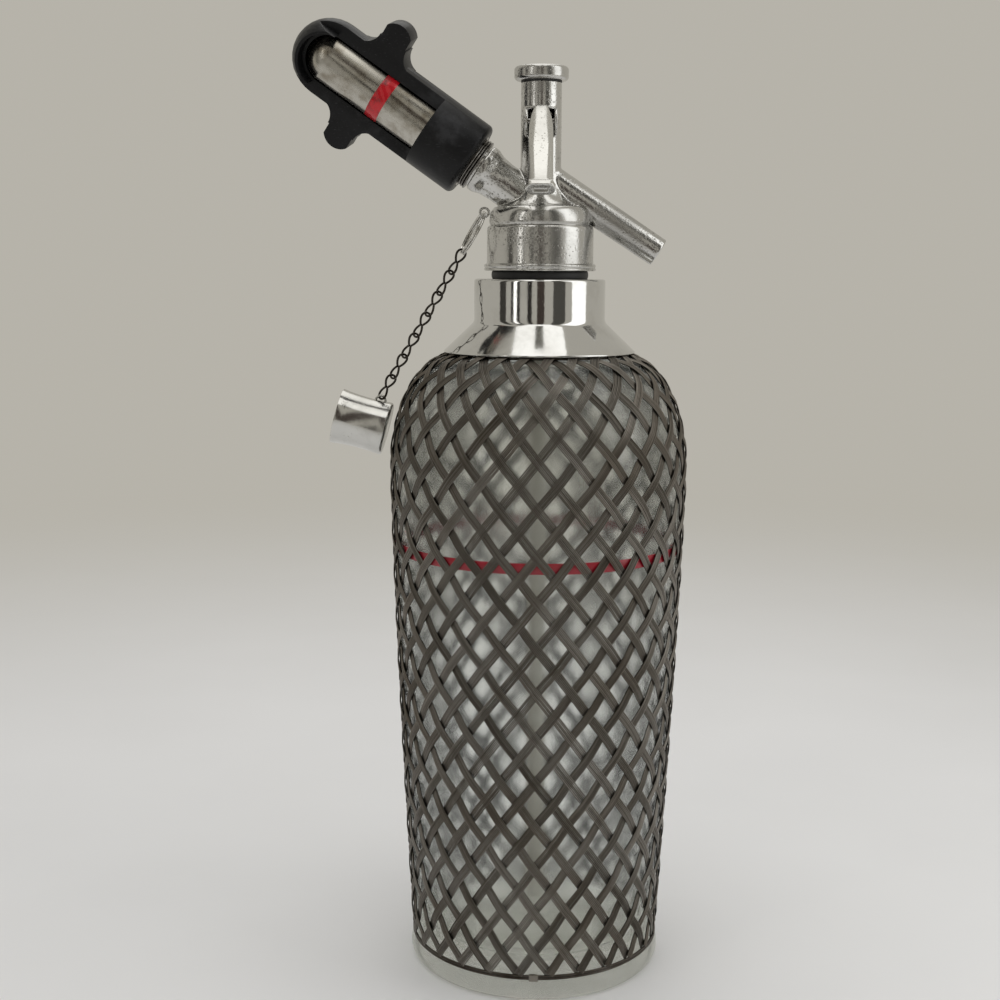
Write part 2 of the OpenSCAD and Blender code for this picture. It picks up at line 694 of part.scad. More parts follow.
module inlet_nipple() {
    valve_room_l = 6;
    color("silver") inlet_frame() difference() {
        rotate_extrude() polygon([
            [0, nipple_s], [nipple_plug_r, nipple_s], [nipple_plug_r, inlet_end_s], [nipple_r, inlet_end_s],
            [nipple_r, nipple_end_s - 0.8], [nipple_r - 0.8, nipple_end_s], [0, nipple_end_s]]);
        translate([0, 0, recess_s]) cylinder(r = recess_r, h = nipple_l);
        translate([0, 0, nipple_s - overcut]) cylinder(r = valve_r + 0.3, h = valve_room_l + overcut);
        translate([0, 0, nipple_s]) cylinder(r = piercing_r, h = recess_s - nipple_s + overcut);
    }
}

// Hollow spike that opens the bulb
piercing_r = 0.9;
module piercing_pin() {
    foot_s = recess_s - 5;
    pierce = 1.6;
    color("gray") inlet_frame() rotate_extrude() polygon([
        [0.4, foot_s], [piercing_r - 0.05, foot_s], [piercing_r - 0.05, bulb_seat_s + pierce - 1],
        [0.4, bulb_seat_s + pierce]]);
}

module inlet_washer() {
    color("black") inlet_frame() translate([0, 0, recess_s])
        ring(recess_r - 0.1, piercing_r + 0.3, inlet_washer_h);
}

module check_valve() {
    valve_h = 3;
    color("black") inlet_frame() translate([0, 0, nipple_s]) difference() {
        cylinder(r = valve_r, h = valve_h);
        translate([0, 0, 1]) cylinder(r = valve_r - 1, h = valve_h);
    }
}

// ---------------------------------------------------------------- bulb and holder

bulb_taper = 6;
bulb_end_s = bulb_seat_s + bulb_l;
bulb_mid_s = bulb_end_s - bulb_r;               // centre of its round end
module gas_bulb() {
    body_s = bulb_seat_s + bulb_neck_len + bulb_taper;
    mouth_round = 0.8;
    bore_r = 1.3;
    color("lightgray") inlet_frame() rotate_extrude() polygon(concat(
        [[bore_r, bulb_seat_s], [bulb_neck_r - mouth_round, bulb_seat_s],
         [bulb_neck_r, bulb_seat_s + mouth_round], [bulb_neck_r, bulb_seat_s + bulb_neck_len]],
        arc(bulb_r - 4, body_s, 4, bulb_taper - 1.5, -50, 0, 4),
        arc(0, bulb_mid_s, bulb_r, bulb_r, 0, 90, 8),
        [[0, bulb_seat_s + 2.6], [bore_r, bulb_seat_s + 2.6]]));
}

module bulb_band() {
    band_from_nose = 32.1;
    band_w = 5;
    color("crimson") inlet_frame() translate([0, 0, bulb_end_s - band_from_nose - band_w / 2])
        ring(bulb_r + 0.2, bulb_r + face_gap, band_w);
}

holder_s = inlet_end_s + 3.6;
holder_window_s = holder_s + holder_collar_l;
holder_wall = holder_r - bulb_r - bulb_gap;
cavity_r = bulb_r + bulb_gap;
insert_r = nipple_r + 2.3;
insert_top_s = nipple_end_s;
module bulb_holder() {
    mouth_round = 2;
    nose_gap = 0.4;
    lug_half = 9.8;
    far = holder_r + wing_out + wing_r;
    color([0.12, 0.12, 0.13]) inlet_frame() rotate([0, 0, -holder_turn]) difference() {
        union() {
            rotate_extrude() polygon(concat(
                [[0, holder_s]],
                arc(holder_r - mouth_round, holder_s + mouth_round, mouth_round, mouth_round, -90, 0, 5),
                arc(0, bulb_mid_s + holder_wall - 4.4, holder_r, holder_r + bulb_gap / 2, 0, 90, 9)));
            // two wings to turn it by
            translate([0, -window_front, holder_s + wing_along]) rotate([-90, 0, 0])
                linear_extrude(height = wing_t) wing_outline();
        }
        // room for the bulb
        translate([0, 0, holder_s - overcut]) cylinder(r = cavity_r, h = bulb_mid_s - holder_s + overcut);
        translate([0, 0, bulb_mid_s]) sphere(r = cavity_r);
        // seat of the threaded insert
        translate([0, 0, holder_s - overcut]) cylinder(r = insert_r, h = insert_top_s - holder_s + overcut);
        // window, rounded off round the bulb's nose
        translate([-far, -far - window_front, holder_window_s])
            cube([2 * far, far, bulb_mid_s - holder_window_s]);
        translate([0, 0, bulb_mid_s]) rotate([90, 0, 0]) translate([0, 0, window_front])
            cylinder(r = cavity_r + nose_gap, h = far);
        // the round end keeps a lug in front of the nose, flat on its face
        translate([-far, -far - end_flat, bulb_mid_s - overcut]) cube([2 * far, far, 2 * bulb_l]);
        for (side = [-1, 1]) translate([side > 0 ? lug_half : -far, -far - window_front, bulb_mid_s - overcut])
            cube([far - lug_half, far, 2 * bulb_l]);
    }
}

// Outline of the two wings with hollow fillets into the holder's sides
module wing_outline() {
    fillet = 6;
    web = wing_r + fillet - 1.5;
    difference() {
        union() {
            for (side = [-1, 1]) translate([side * wing_out, 0]) circle(r = wing_r);
            square([2 * (wing_out - 1), 2 * web], center = true);
        }
        for (side = [-1, 1]) for (end = [-1, 1])
            translate([side * (wing_out - 0.6), end * (wing_r + fillet - 0.6)]) circle(r = fillet);
        for (side = [-1, 1]) for (end = [-1, 1])
            translate([side * (wing_out + 4.4), end * (web + 0.4)]) square([10, 2 * fillet], center = true);
    }
}

module holder_insert() {
    lead = 2.9;
    color("silver") inlet_frame() rotate_extrude() polygon([
        [nipple_r + thread_gap, holder_s - lead], [insert_r - 0.8, holder_s - lead],
        [insert_r - 0.8, holder_s - lead + 0.9], [insert_r - 1.2, holder_s - lead + 0.9],
        [insert_r - 1.2, holder_s - 0.8], [insert_r - 0.1, holder_s - 0.8],
        [insert_r - 0.1, insert_top_s - 0.2], [nipple_r + thread_gap, insert_top_s - 0.2]]);
}

// ---------------------------------------------------------------- chain and inlet cap

eyelet_hole_r = 1.15;
eyelet_wire_r = 0.45;
eyelet_stem_r = 0.6;
eyelet_r = eyelet_hole_r + eyelet_wire_r;
eyelet_z = crown_z - 2;
eyelet_root = bulge_at(eyelet_z - eyelet_stem_r) + face_gap;
eyelet_x = eyelet_root + face_gap + eyelet_wire_r + eyelet_r;
eyelet = [-eyelet_x, eyelet_z];

// Inlet cap: its closed end faces the bottle
cap_mid = [-(glass_r + cap_out), cap_z];
cap_along = [cos(cap_tilt), -sin(cap_tilt)];
cap_up = [sin(cap_tilt), cos(cap_tilt)];
loop_r = 1.6;
loop_wire_r = 0.45;
loop_along = 4.6;
loop_top = cap_mid + cap_up * (cap_r + loop_r) + cap_along * loop_along;

// The chain hangs straight from the eyelet to the loop on the inlet cap
chain_dir = (loop_top - eyelet) / norm(loop_top - eyelet);
chain_lean = atan2(-chain_dir[0], -chain_dir[1]);
ring_mid_r = ring_r - ring_wire / 2;
ring_bottom = eyelet + chain_dir * 2 * ring_mid_r;
hook_gap = rest_gap;
ring_hook = ring_wire / 2 + link_wire_r + hook_gap;
loop_hook = loop_wire_r + link_wire_r + hook_gap;
link_hook = 2 * link_wire_r + hook_gap;
link_pitch = (norm(loop_top - ring_bottom) + ring_hook + loop_hook - link_hook) / links;

module at(p) {
    translate([p[0], 0, p[1]]) children();
}

// Frame of the chain: its own -Z runs down the chain, its +Y stays the siphon's
module chain_frame() {
    at(ring_bottom) rotate([0, chain_lean, 0]) children();
}

module chain_eyelet() {
    stem_l = eyelet_x - eyelet_r - eyelet_root;
    color("silver") union() {
        at(eyelet) rotate([90, 0, 0]) wire_ring(eyelet_r, eyelet_wire_r);
        at(eyelet) rotate([0, 90, 0]) translate([0, 0, eyelet_r]) cylinder(r = eyelet_stem_r, h = stem_l);
    }
}

// Two turns of flat wire, with the groove between them
module split_ring() {
    half = 0.85;
    groove = 0.35;
    color("silver") at(eyelet + chain_dir * ring_mid_r) rotate([0, chain_lean + 90, 0])
        rotate_extrude() polygon([
            [ring_r - ring_wire, -half], [ring_r, -half], [ring_r, -groove / 2], [ring_r - groove, 0],
            [ring_r, groove / 2], [ring_r, half], [ring_r - ring_wire, half],
            [ring_r - ring_wire, groove / 2], [ring_r - ring_wire + groove, 0], [ring_r - ring_wire, -groove / 2]]);
}

// One loop of a link: a round end and two legs that meet at the origin, the loop reaching up to z = reach
module link_loop(reach) {
    mid = reach - link_end_r;
    leg = asin(link_end_r / mid);
    leg_l = mid * cos(leg);
    translate([0, 0, mid]) rotate([90, 0, 0]) rotate([0, 0, -leg])
        wire_ring(link_end_r, link_wire_r, 180 + 2 * leg);
    for (side = [-1, 1]) rotate([0, side * leg, 0]) cylinder(r = link_wire_r, h = leg_l);
}

// A link is two loops a quarter turn apart, the upper one facing the front
module chain_link(i) {
    reach = (link_pitch + link_hook) / 2;
    color([0.2, 0.19, 0.18]) chain_frame()
        translate([0, 0, ring_hook - (i - 1) * link_pitch - reach]) union() {
            link_loop(reach);
            rotate([180, 0, 0]) rotate([0, 0, 90]) link_loop(reach);
            sphere(r = link_wire_r * 1.25);
        }
}

module cap_frame() {
    at(cap_mid) rotate([0, 90 + cap_tilt, 0]) children();
}

module inlet_cap() {
    corner = 2.5;
    flare = 0.5;
    half = cap_l / 2;
    color("silver") cap_frame() rotate_extrude() polygon(concat(
        [[0, half - cap_t], [0, half]],
        arc(cap_r - corner, half - corner, corner, corner, 85, 0, 5),
        [[cap_r, -half + 2], [cap_r + flare, -half], [cap_r + flare - cap_t, -half], [cap_r - cap_t, -half + 2]],
        arc(cap_r - corner, half - corner, corner - cap_t, corner - cap_t, 0, 85, 5)));
}

module inlet_cap_liner() {
    liner_h = 2;
    liner_r = cap_r - cap_t - 1.2;
    color("black") cap_frame() translate([0, 0, cap_l / 2 - cap_t - 0.1 - liner_h]) cylinder(r = liner_r, h = liner_h);
}

// Staple on the inlet cap's side that the last link hangs in
module cap_loop() {
    sunk = 0.3;
    color("silver") at(cap_mid + cap_up * (cap_r - sunk) + cap_along * loop_along) rotate([0, cap_tilt, 0])
        difference() {
            rotate([90, 0, 0]) wire_ring(loop_r + sunk, loop_wire_r);
            translate([-2 * loop_r, -loop_r, -2 * loop_r]) cube([4 * loop_r, 2 * loop_r, 2 * loop_r + sunk + 0.02]);
        }
}

glass_bottle();
fill_line();
mesh_strips_right();
mesh_strips_left();
mesh_foot_band();
mesh_band_clip();
mesh_top_ring();
shoulder_collar();
neck_ring();
neck_gasket();
rim_seal();
dip_tube();
head_body();
tube_bush();
spindle_gland();
tower_cap();
tower_cap_washer();
valve_spindle();
valve_washer();
valve_spring();
lever();
lever_pin();
inlet_nipple();
piercing_pin();
inlet_washer();
check_valve();
gas_bulb();
bulb_band();
bulb_holder();
holder_insert();
chain_eyelet();
split_ring();
for (i = [1:links]) chain_link(i);
inlet_cap();
inlet_cap_liner();
cap_loop();
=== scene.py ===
import json
import math
import random

import bpy
from mathutils import Matrix, Vector
from mathutils.kdtree import KDTree

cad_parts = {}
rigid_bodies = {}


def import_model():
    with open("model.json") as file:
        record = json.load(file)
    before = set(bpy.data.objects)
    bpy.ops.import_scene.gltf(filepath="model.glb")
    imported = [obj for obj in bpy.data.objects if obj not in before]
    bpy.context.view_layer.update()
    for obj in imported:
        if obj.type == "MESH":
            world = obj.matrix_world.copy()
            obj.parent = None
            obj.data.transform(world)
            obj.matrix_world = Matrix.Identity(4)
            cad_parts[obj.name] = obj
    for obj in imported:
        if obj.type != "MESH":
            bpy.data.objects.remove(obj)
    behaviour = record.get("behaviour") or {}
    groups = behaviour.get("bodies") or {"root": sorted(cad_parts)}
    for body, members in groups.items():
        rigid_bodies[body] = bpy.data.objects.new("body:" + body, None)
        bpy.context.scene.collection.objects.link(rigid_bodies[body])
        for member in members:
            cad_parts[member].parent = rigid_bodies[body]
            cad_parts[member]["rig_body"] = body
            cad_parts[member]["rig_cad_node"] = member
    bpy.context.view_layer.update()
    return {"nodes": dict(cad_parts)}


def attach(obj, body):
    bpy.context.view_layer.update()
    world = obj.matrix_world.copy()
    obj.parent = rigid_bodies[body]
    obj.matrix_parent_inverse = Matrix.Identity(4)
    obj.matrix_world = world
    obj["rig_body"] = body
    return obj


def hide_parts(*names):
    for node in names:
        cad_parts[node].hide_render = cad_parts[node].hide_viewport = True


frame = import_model()

# Lengths below are in millimetres, and MM turns them into metres.
MM = 0.001
# Points closer than this are one point.
WELD = 0.002 * MM

# ---------------------------------------------------------------- sizes of the siphon

# glass bottle: side, shoulder, wall, neck, foot and the red line round its side
GLASS_R, GLASS_FOOT_R = 53.6, 45.6
SHOULDER_Z, SHOULDER_DRAW, SHOULDER_RISE, SHOULDER_END = 190.0, 23.4, 40.5, 82
SHOULDER_MID_R = GLASS_R - SHOULDER_DRAW
GLASS_WALL, GLASS_FLOOR, FLOOR_ROUND = 4.5, 12.0, 8.0
NECK_R, NECK_FILLET, LIP_R, LIP_H, MOUTH_R = 13.0, 4.5, 14.5, 8.0, 10.5
RIM_Z = 274.0
FOOT_BEAD_R, FOOT_BEAD_H, BASE_R = 47.7, 8.0, 44.5
FILL_LINE_Z, FILL_LINE_W = 160.7, 3.9

# woven sleeve: ribbons of each hand, their wires, and the wires round its foot
RIBBONS, WEAVE_ROWS, SHOULDER_ROWS, WIRES_IN_RIBBON = 26, 28, 6, 6
RIBBON_W, WEAVE_LIFT, SLEEVE_GAP, RIBBON_T = 3.3, 0.55, 0.3, 0.4
WIRE_R, STRAND_MID, STRAND_LIFT = 0.27, 0.9, 0.45
BAND_WIRE_R, BAND_Z = 0.45, 8.3

# collar over the shoulder
COLLAR_TOP, COLLAR_R, COLLAR_T, COLLAR_HOLE_R = 258.3, 24.0, 0.8, 16.9
SKIRT_Z, SKIRT_R, SKIRT_H = 231.5, 35.1, 12.5

# head: socket, crown, tower, inlet neck and spout
HEAD_Z, CEILING_Z, CROWN_Z, TOWER_TOP = 261.2, 276.0, 284.1, 328.0
HEAD_R, FLANGE_R, HEAD_BORE_R, TOWER_R, TOWER_CAP_R = 19.4, 20.4, 17.0, 7.35, 9.8
RIDGE_R, DOME_H = HEAD_R - 3.4, 13
INLET_Z, INLET_SLOPE = 282.7, 35.3
SPOUT_Z, SPOUT_DROP, SPOUT_L = 296.0, 33.1, 51.4

# lever
PIN_Y, PIN_Z = -8.0, 313.8
LEVER_SLOPE = 42

# gas bulb and its holder, measured along the inlet
BULB_R, BULB_NECK_R, BULB_SEAT_S, BULB_L = 9.0, 4.4, 36.3, 65.0
BULB_BAND_S, BULB_BAND_W = BULB_SEAT_S + BULB_L - 32.1, 5.0
HOLDER_S = 30.4

# chain and inlet cap
EYELET = (-20.359, 282.1)
RING_MID_R, RING_WIRE_R, RING_WIRE = 8.4, 0.43, 1.2
LOOP_R, LOOP_WIRE_R, LINK_WIRE_R, HOOK_GAP = 1.6, 0.45, 0.42, 0.3
LINKS, CHAIN_TWIST, RING_TWIST = 7, 40, 9
CAP_MID, CAP_TILT, CAP_R, CAP_L, CAP_LOOP_S = (-65.6, 205.1), 14.7, 9.9, 19.4, 4.6


def place(x=0.0, y=0.0, z=0.0, turns=()):
    """A place in the siphon's frame: a point in mm and then turns as (degrees, axis)."""
    spot = Matrix.Translation((x * MM, y * MM, z * MM))
    for degrees, axis in turns:
        spot = spot @ Matrix.Rotation(math.radians(degrees), 4, axis)
    return spot


INLET = place(z=INLET_Z, turns=[(INLET_SLOPE - 90, "Y")])
SPOUT = place(z=SPOUT_Z, turns=[(90 + SPOUT_DROP, "Y")])
LEVER = place(y=PIN_Y, z=PIN_Z, turns=[(LEVER_SLOPE - 90, "X")])
INLET_CAP = place(CAP_MID[0], 0, CAP_MID[1], turns=[(90 + CAP_TILT, "Y")])


# ---------------------------------------------------------------- making and shaping


def deselect():
    if bpy.context.mode != "OBJECT":
        bpy.ops.object.mode_set(mode="OBJECT")
    bpy.ops.object.select_all(action="DESELECT")


def pick(piece):
    deselect()
    piece.select_set(True)
    bpy.context.view_layer.objects.active = piece


def edit(piece):
    pick(piece)
    bpy.ops.object.mode_set(mode="EDIT")
    bpy.ops.mesh.select_all(action="SELECT")


def clean_shell(piece):
    """Closes seams and poles, then points every face outwards."""
    edit(piece)
    bpy.ops.mesh.remove_doubles(threshold=WELD)
    bpy.ops.mesh.normals_make_consistent(inside=False)
    deselect()


def put(piece, spot):
    """Moves a piece to its place, with the place in its mesh."""
    pick(piece)
    piece.matrix_world = spot @ piece.matrix_world
    bpy.ops.object.transform_apply(location=True, rotation=True, scale=True)
    return piece


def arc(cx, cy, rx, ry, a0, a1, steps):
    """Points on an ellipse's arc."""
    angles = [math.radians(a0 + (a1 - a0) * i / steps) for i in range(steps + 1)]
    return [(cx + rx * math.cos(a), cy + ry * math.sin(a)) for a in angles]


def turned(name, outline, steps=128):
    """A turned piece: an outline of (radius, height) points, drawn by extruding a point, spun about Z."""
    deselect()
    bpy.ops.mesh.primitive_plane_add(size=MM)
    piece = bpy.context.active_object
    piece.name = piece.data.name = name
    bpy.ops.object.mode_set(mode="EDIT")
    bpy.ops.mesh.merge(type="CENTER")
    r, z = outline[0]
    bpy.ops.transform.translate(value=(r * MM, 0, z * MM))
    for next_r, next_z in outline[1:]:
        step = ((next_r - r) * MM, 0, (next_z - z) * MM)
        bpy.ops.mesh.extrude_region_move(TRANSFORM_OT_translate={"value": step, "orient_type": "GLOBAL"})
        r, z = next_r, next_z
    bpy.ops.mesh.select_all(action="SELECT")
    bpy.ops.mesh.spin(steps=steps, angle=2 * math.pi, center=(0, 0, 0), axis=(0, 0, 1))
    clean_shell(piece)
    return piece


def apply_modifier(piece, kind, **settings):
    pick(piece)
    modifier = piece.modifiers.new(kind.lower(), kind)
    for key, value in settings.items():
        setattr(modifier, key, value)
    bpy.ops.object.modifier_apply(modifier=modifier.name)


def joined(name, pieces):
    deselect()
    for piece in pieces:
        piece.select_set(True)
    bpy.context.view_layer.objects.active = pieces[0]
    bpy.ops.object.join()
    whole = bpy.context.active_object
    whole.name = whole.data.name = name
    return whole


def combine(piece, tool, operation):
    """Adds a tool's shape to a piece, or cuts it out, and drops the tool."""
    apply_modifier(piece, "BOOLEAN", object=tool, operation=operation, solver="EXACT")
    bpy.data.objects.remove(tool)


def block(size, spot):
    """A block to cut or add with, its size in mm."""
    deselect()
    bpy.ops.mesh.primitive_cube_add(size=MM)
    tool = bpy.context.active_object
    tool.scale = size
    bpy.ops.object.transform_apply(location=True, rotation=True, scale=True)
    return put(tool, spot)


def rod(radius, length, spot, end_radius=None, steps=64):
    """A rod or a taper that starts at its place and runs along the place's Z."""
    deselect()
    bpy.ops.mesh.primitive_cone_add(
        vertices=steps, radius1=radius * MM, radius2=(end_radius or radius) * MM,
        depth=length * MM, location=(0, 0, length / 2 * MM))
    return put(bpy.context.active_object, spot)


def wires(name, paths, radius, closed=False, sides=6):
    """Round wires along lists of points in mm, swept as curves and made one mesh."""
    curve = bpy.data.curves.new(name, "CURVE")
    curve.dimensions = "3D"
    curve.bevel_depth = radius * MM
    curve.bevel_resolution = (sides - 4) // 2
    curve.use_fill_caps = not closed
    for path in paths:
        line = curve.splines.new("POLY")
        line.points.add(len(path) - 1)
        for point, spot in zip(line.points, path):
            point.co = (spot[0] * MM, spot[1] * MM, spot[2] * MM, 1)
        line.use_cyclic_u = closed
    piece = bpy.data.objects.new(name, curve)
    bpy.context.scene.collection.objects.link(piece)
    pick(piece)
    bpy.ops.object.convert(target="MESH")
    return bpy.context.active_object


def copy_of_solid(node, name):
    """A merged copy of a solid's mesh, to be shaped further."""
    pick(frame["nodes"][node])
    bpy.ops.object.duplicate()
    piece = bpy.context.active_object
    piece.parent = None
    piece.name = piece.data.name = name
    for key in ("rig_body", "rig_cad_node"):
        del piece[key]
    edit(piece)
    bpy.ops.mesh.remove_doubles(threshold=WELD)
    bpy.ops.mesh.dissolve_limited(angle_limit=math.radians(0.2))
    deselect()
    return piece


def finish(piece, body, slot, material, *nodes, smooth=35):
    """Shades a piece, gives it its finish, ties it to its body, and hides the solids that it stands for."""
    pick(piece)
    bpy.ops.object.shade_smooth_by_angle(angle=math.radians(smooth))
    piece.data.materials.clear()
    piece.data.materials.append(material)
    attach(piece, body)
    if nodes:
        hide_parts(*nodes)
    return piece


# ---------------------------------------------------------------- shared effects


def node_group(name, inputs, outputs):
    """A shader group with float inputs as (name, value) and outputs as (name, socket type)."""
    group = bpy.data.node_groups.new(name, "ShaderNodeTree")
    for label, value in inputs:
        group.interface.new_socket(label, in_out="INPUT", socket_type="NodeSocketFloat").default_value = value
    for label, kind in outputs:
        group.interface.new_socket(label, in_out="OUTPUT", socket_type=kind)
    return group, group.nodes.new("NodeGroupInput"), group.nodes.new("NodeGroupOutput")


class Wiring:
    """Short ways to add and join nodes in a tree."""

    def __init__(self, tree):
        self.tree = tree

    def add(self, kind, **settings):
        node = self.tree.nodes.new("ShaderNode" + kind)
        for key, value in settings.items():
            setattr(node, key, value)
        return node

    def join(self, source, target):
        self.tree.links.new(source, target)

    def feed(self, node, **values):
        """Sets or joins a node's inputs by name, with _ for a space."""
        for key, value in values.items():
            socket = node.inputs[key.replace("_", " ")]
            if isinstance(value, bpy.types.NodeSocket):
                self.join(value, socket)
            else:
                socket.default_value = value
        return node

    def noise(self, where, scale, detail=4.0, rough=0.55, stretch=None):
        if stretch:
            mapping = self.add("Mapping")
            self.join(where, mapping.inputs["Vector"])
            mapping.inputs["Scale"].default_value = stretch
            where = mapping.outputs["Vector"]
        node = self.add("TexNoise")
        self.feed(node, Vector=where, Scale=scale, Detail=detail, Roughness=rough)
        return node.outputs["Fac"]

    def spread(self, value, low, high, to_low=0.0, to_high=1.0, smooth=True):
        node = self.add("MapRange", interpolation_type="SMOOTHSTEP" if smooth else "LINEAR")
        for index, item in enumerate((value, low, high, to_low, to_high)):
            if isinstance(item, bpy.types.NodeSocket):
                self.join(item, node.inputs[index])
            else:
                node.inputs[index].default_value = item
        return node.outputs["Result"]

    def sum(self, operation, a, b):
        node = self.add("Math", operation=operation)
        for index, item in enumerate((a, b)):
            if isinstance(item, bpy.types.NodeSocket):
                self.join(item, node.inputs[index])
            else:
                node.inputs[index].default_value = item
        return node.outputs["Value"]

    def blend(self, mask, a, b):
        """Colour a where the mask is 0 and colour b where it is 1."""
        node = self.add("Mix", data_type="RGBA")
        self.join(mask, node.inputs["Factor"])
        for socket, item in ((node.inputs[6], a), (node.inputs[7], b)):
            if isinstance(item, bpy.types.NodeSocket):
                self.join(item, socket)
            else:
                socket.default_value = (*item, 1)
        return node.outputs[2]


def make_pitting():
    """Plating eaten by small pits that gather in patches."""
    group, inputs, outputs = node_group(
        "pitting", [("Scale", 900.0), ("Patch Scale", 60.0), ("Cover", 0.5)],
        [("Pits", "NodeSocketFloat"), ("Height", "NodeSocketFloat")])
    w = Wiring(group)
    where = w.add("TexCoord").outputs["Object"]
    cells = w.feed(w.add("TexVoronoi"), Vector=where, Scale=inputs.outputs["Scale"], Randomness=1.0)
    grain = w.noise(where, inputs.outputs["Scale"], 3.0, 0.6)
    patches = w.noise(where, inputs.outputs["Patch Scale"], 3.0, 0.6)
    limit = w.sum("MULTIPLY", w.spread(patches, 0.3, 0.7, 0.1, 0.75), inputs.outputs["Cover"])
    pit = w.spread(cells.outputs["Distance"], 0.0, limit, 1.0, 0.0)
    rough = w.sum("MULTIPLY", pit, w.spread(grain, 0.35, 0.6))
    w.join(rough, outputs.inputs["Pits"])
    height = w.sum("SUBTRACT", w.sum("MULTIPLY", grain, 0.5), rough)
    w.join(height, outputs.inputs["Height"])
    return group


def make_scratches():
    """Fine straight scratches in two crossing directions."""
    group, inputs, outputs = node_group(
        "scratches", [("Scale", 220.0), ("Amount", 0.5)],
        [("Lines", "NodeSocketFloat")])
    w = Wiring(group)
    where = w.add("TexCoord").outputs["Object"]
    total = None
    for turn, stretch in (((0.3, 0.5, 0.4), (1.0, 14.0, 14.0)), ((-0.6, 0.2, 1.3), (1.0, 18.0, 18.0))):
        mapping = w.add("Mapping")
        w.join(where, mapping.inputs["Vector"])
        mapping.inputs["Rotation"].default_value = turn
        mapping.inputs["Scale"].default_value = stretch
        streak = w.noise(mapping.outputs["Vector"], inputs.outputs["Scale"], 2.0, 0.5)
        line = w.spread(streak, 0.66, 0.78)
        total = line if total is None else w.sum("MAXIMUM", total, line)
    w.join(w.sum("MULTIPLY", total, inputs.outputs["Amount"]), outputs.inputs["Lines"])
    return group


def make_stain():
    """Soft uneven patches, as of tarnish, film or rubbed paint."""
    group, inputs, outputs = node_group(
        "stain", [("Scale", 40.0), ("Low", 0.4), ("High", 0.65)], [("Mask", "NodeSocketFloat")])
    w = Wiring(group)
    where = w.add("TexCoord").outputs["Object"]
    broad = w.noise(where, inputs.outputs["Scale"], 6.0, 0.62)
    w.join(w.spread(broad, inputs.outputs["Low"], inputs.outputs["High"]), outputs.inputs["Mask"])
    return group


pitting, scratches, stain = make_pitting(), make_scratches(), make_stain()


def use(w, group, **values):
    node = w.add("Group")
    node.node_tree = group
    w.feed(node, **values)
    return node.outputs


def new_finish(name, **plain):
    """A material with its shader, whose plain numbers sit on the shader's own sockets."""
    material = bpy.data.materials.new(name)
    material.use_nodes = True
    w = Wiring(material.node_tree)
    shader = material.node_tree.nodes["Principled BSDF"]
    w.feed(shader, **plain)
    return material, w, shader


def add_bump(w, shader, height, depth):
    """Bumps of a depth in mm."""
    bump = w.add("Bump")
    w.feed(bump, Height=height, Distance=depth * MM, Strength=1.0)
    w.join(bump.outputs["Normal"], shader.inputs["Normal"])


def object_place(w):
    return w.add("TexCoord").outputs["Object"]


def plated(name, bright, dull, rough, cover, depth, wave=0.0):
    """Chrome plating: bright where sound, dull and grainy where the pits are."""
    material, w, shader = new_finish(name, Metallic=1.0)
    pits = use(w, pitting, Scale=900.0, Patch_Scale=70.0, Cover=cover)
    lines = use(w, scratches, Scale=260.0, Amount=0.6)["Lines"]
    haze = use(w, stain, Scale=45.0, Low=0.42, High=0.68)["Mask"]
    worn = w.sum("MAXIMUM", pits["Pits"], w.sum("MULTIPLY", haze, 0.4))
    w.join(w.blend(worn, bright, dull), shader.inputs["Base Color"])
    dulled = w.spread(worn, 0.0, 1.0, *rough, smooth=False)
    w.join(w.sum("ADD", dulled, w.sum("MULTIPLY", lines, 0.12)), shader.inputs["Roughness"])
    height = pits["Height"]
    if wave:
        height = w.sum("ADD", height, w.sum("MULTIPLY", w.noise(object_place(w), 55.0, 1.0, 0.3), wave))
    add_bump(w, shader, height, depth)
    return material


def drawn_metal(name, light, dark, rough):
    """Wire and bar as drawn: fine grain, with darker stains."""
    material, w, shader = new_finish(name, Metallic=1.0)
    mask = use(w, stain, Scale=90.0, Low=0.38, High=0.68)["Mask"]
    grain = w.noise(object_place(w), 1400.0, 3.0, 0.6)
    w.join(w.blend(mask, light, dark), shader.inputs["Base Color"])
    w.join(w.spread(grain, 0.3, 0.7, *rough), shader.inputs["Roughness"])
    add_bump(w, shader, grain, 0.02)
    return material


def stained(name, colours, rough, patches, grain, depth, **plain):
    """Paint, rubber or plastic: one colour where sound, another in soft patches, over a fine grain."""
    material, w, shader = new_finish(name, **plain)
    scale, low, high = patches
    mask = use(w, stain, Scale=scale, Low=low, High=high)["Mask"]
    w.join(w.blend(mask, *colours), shader.inputs["Base Color"])
    w.join(w.spread(mask, 0.0, 1.0, *rough), shader.inputs["Roughness"])
    add_bump(w, shader, w.noise(object_place(w), grain, 2.0), depth)
    return material


# ---------------------------------------------------------------- finishes


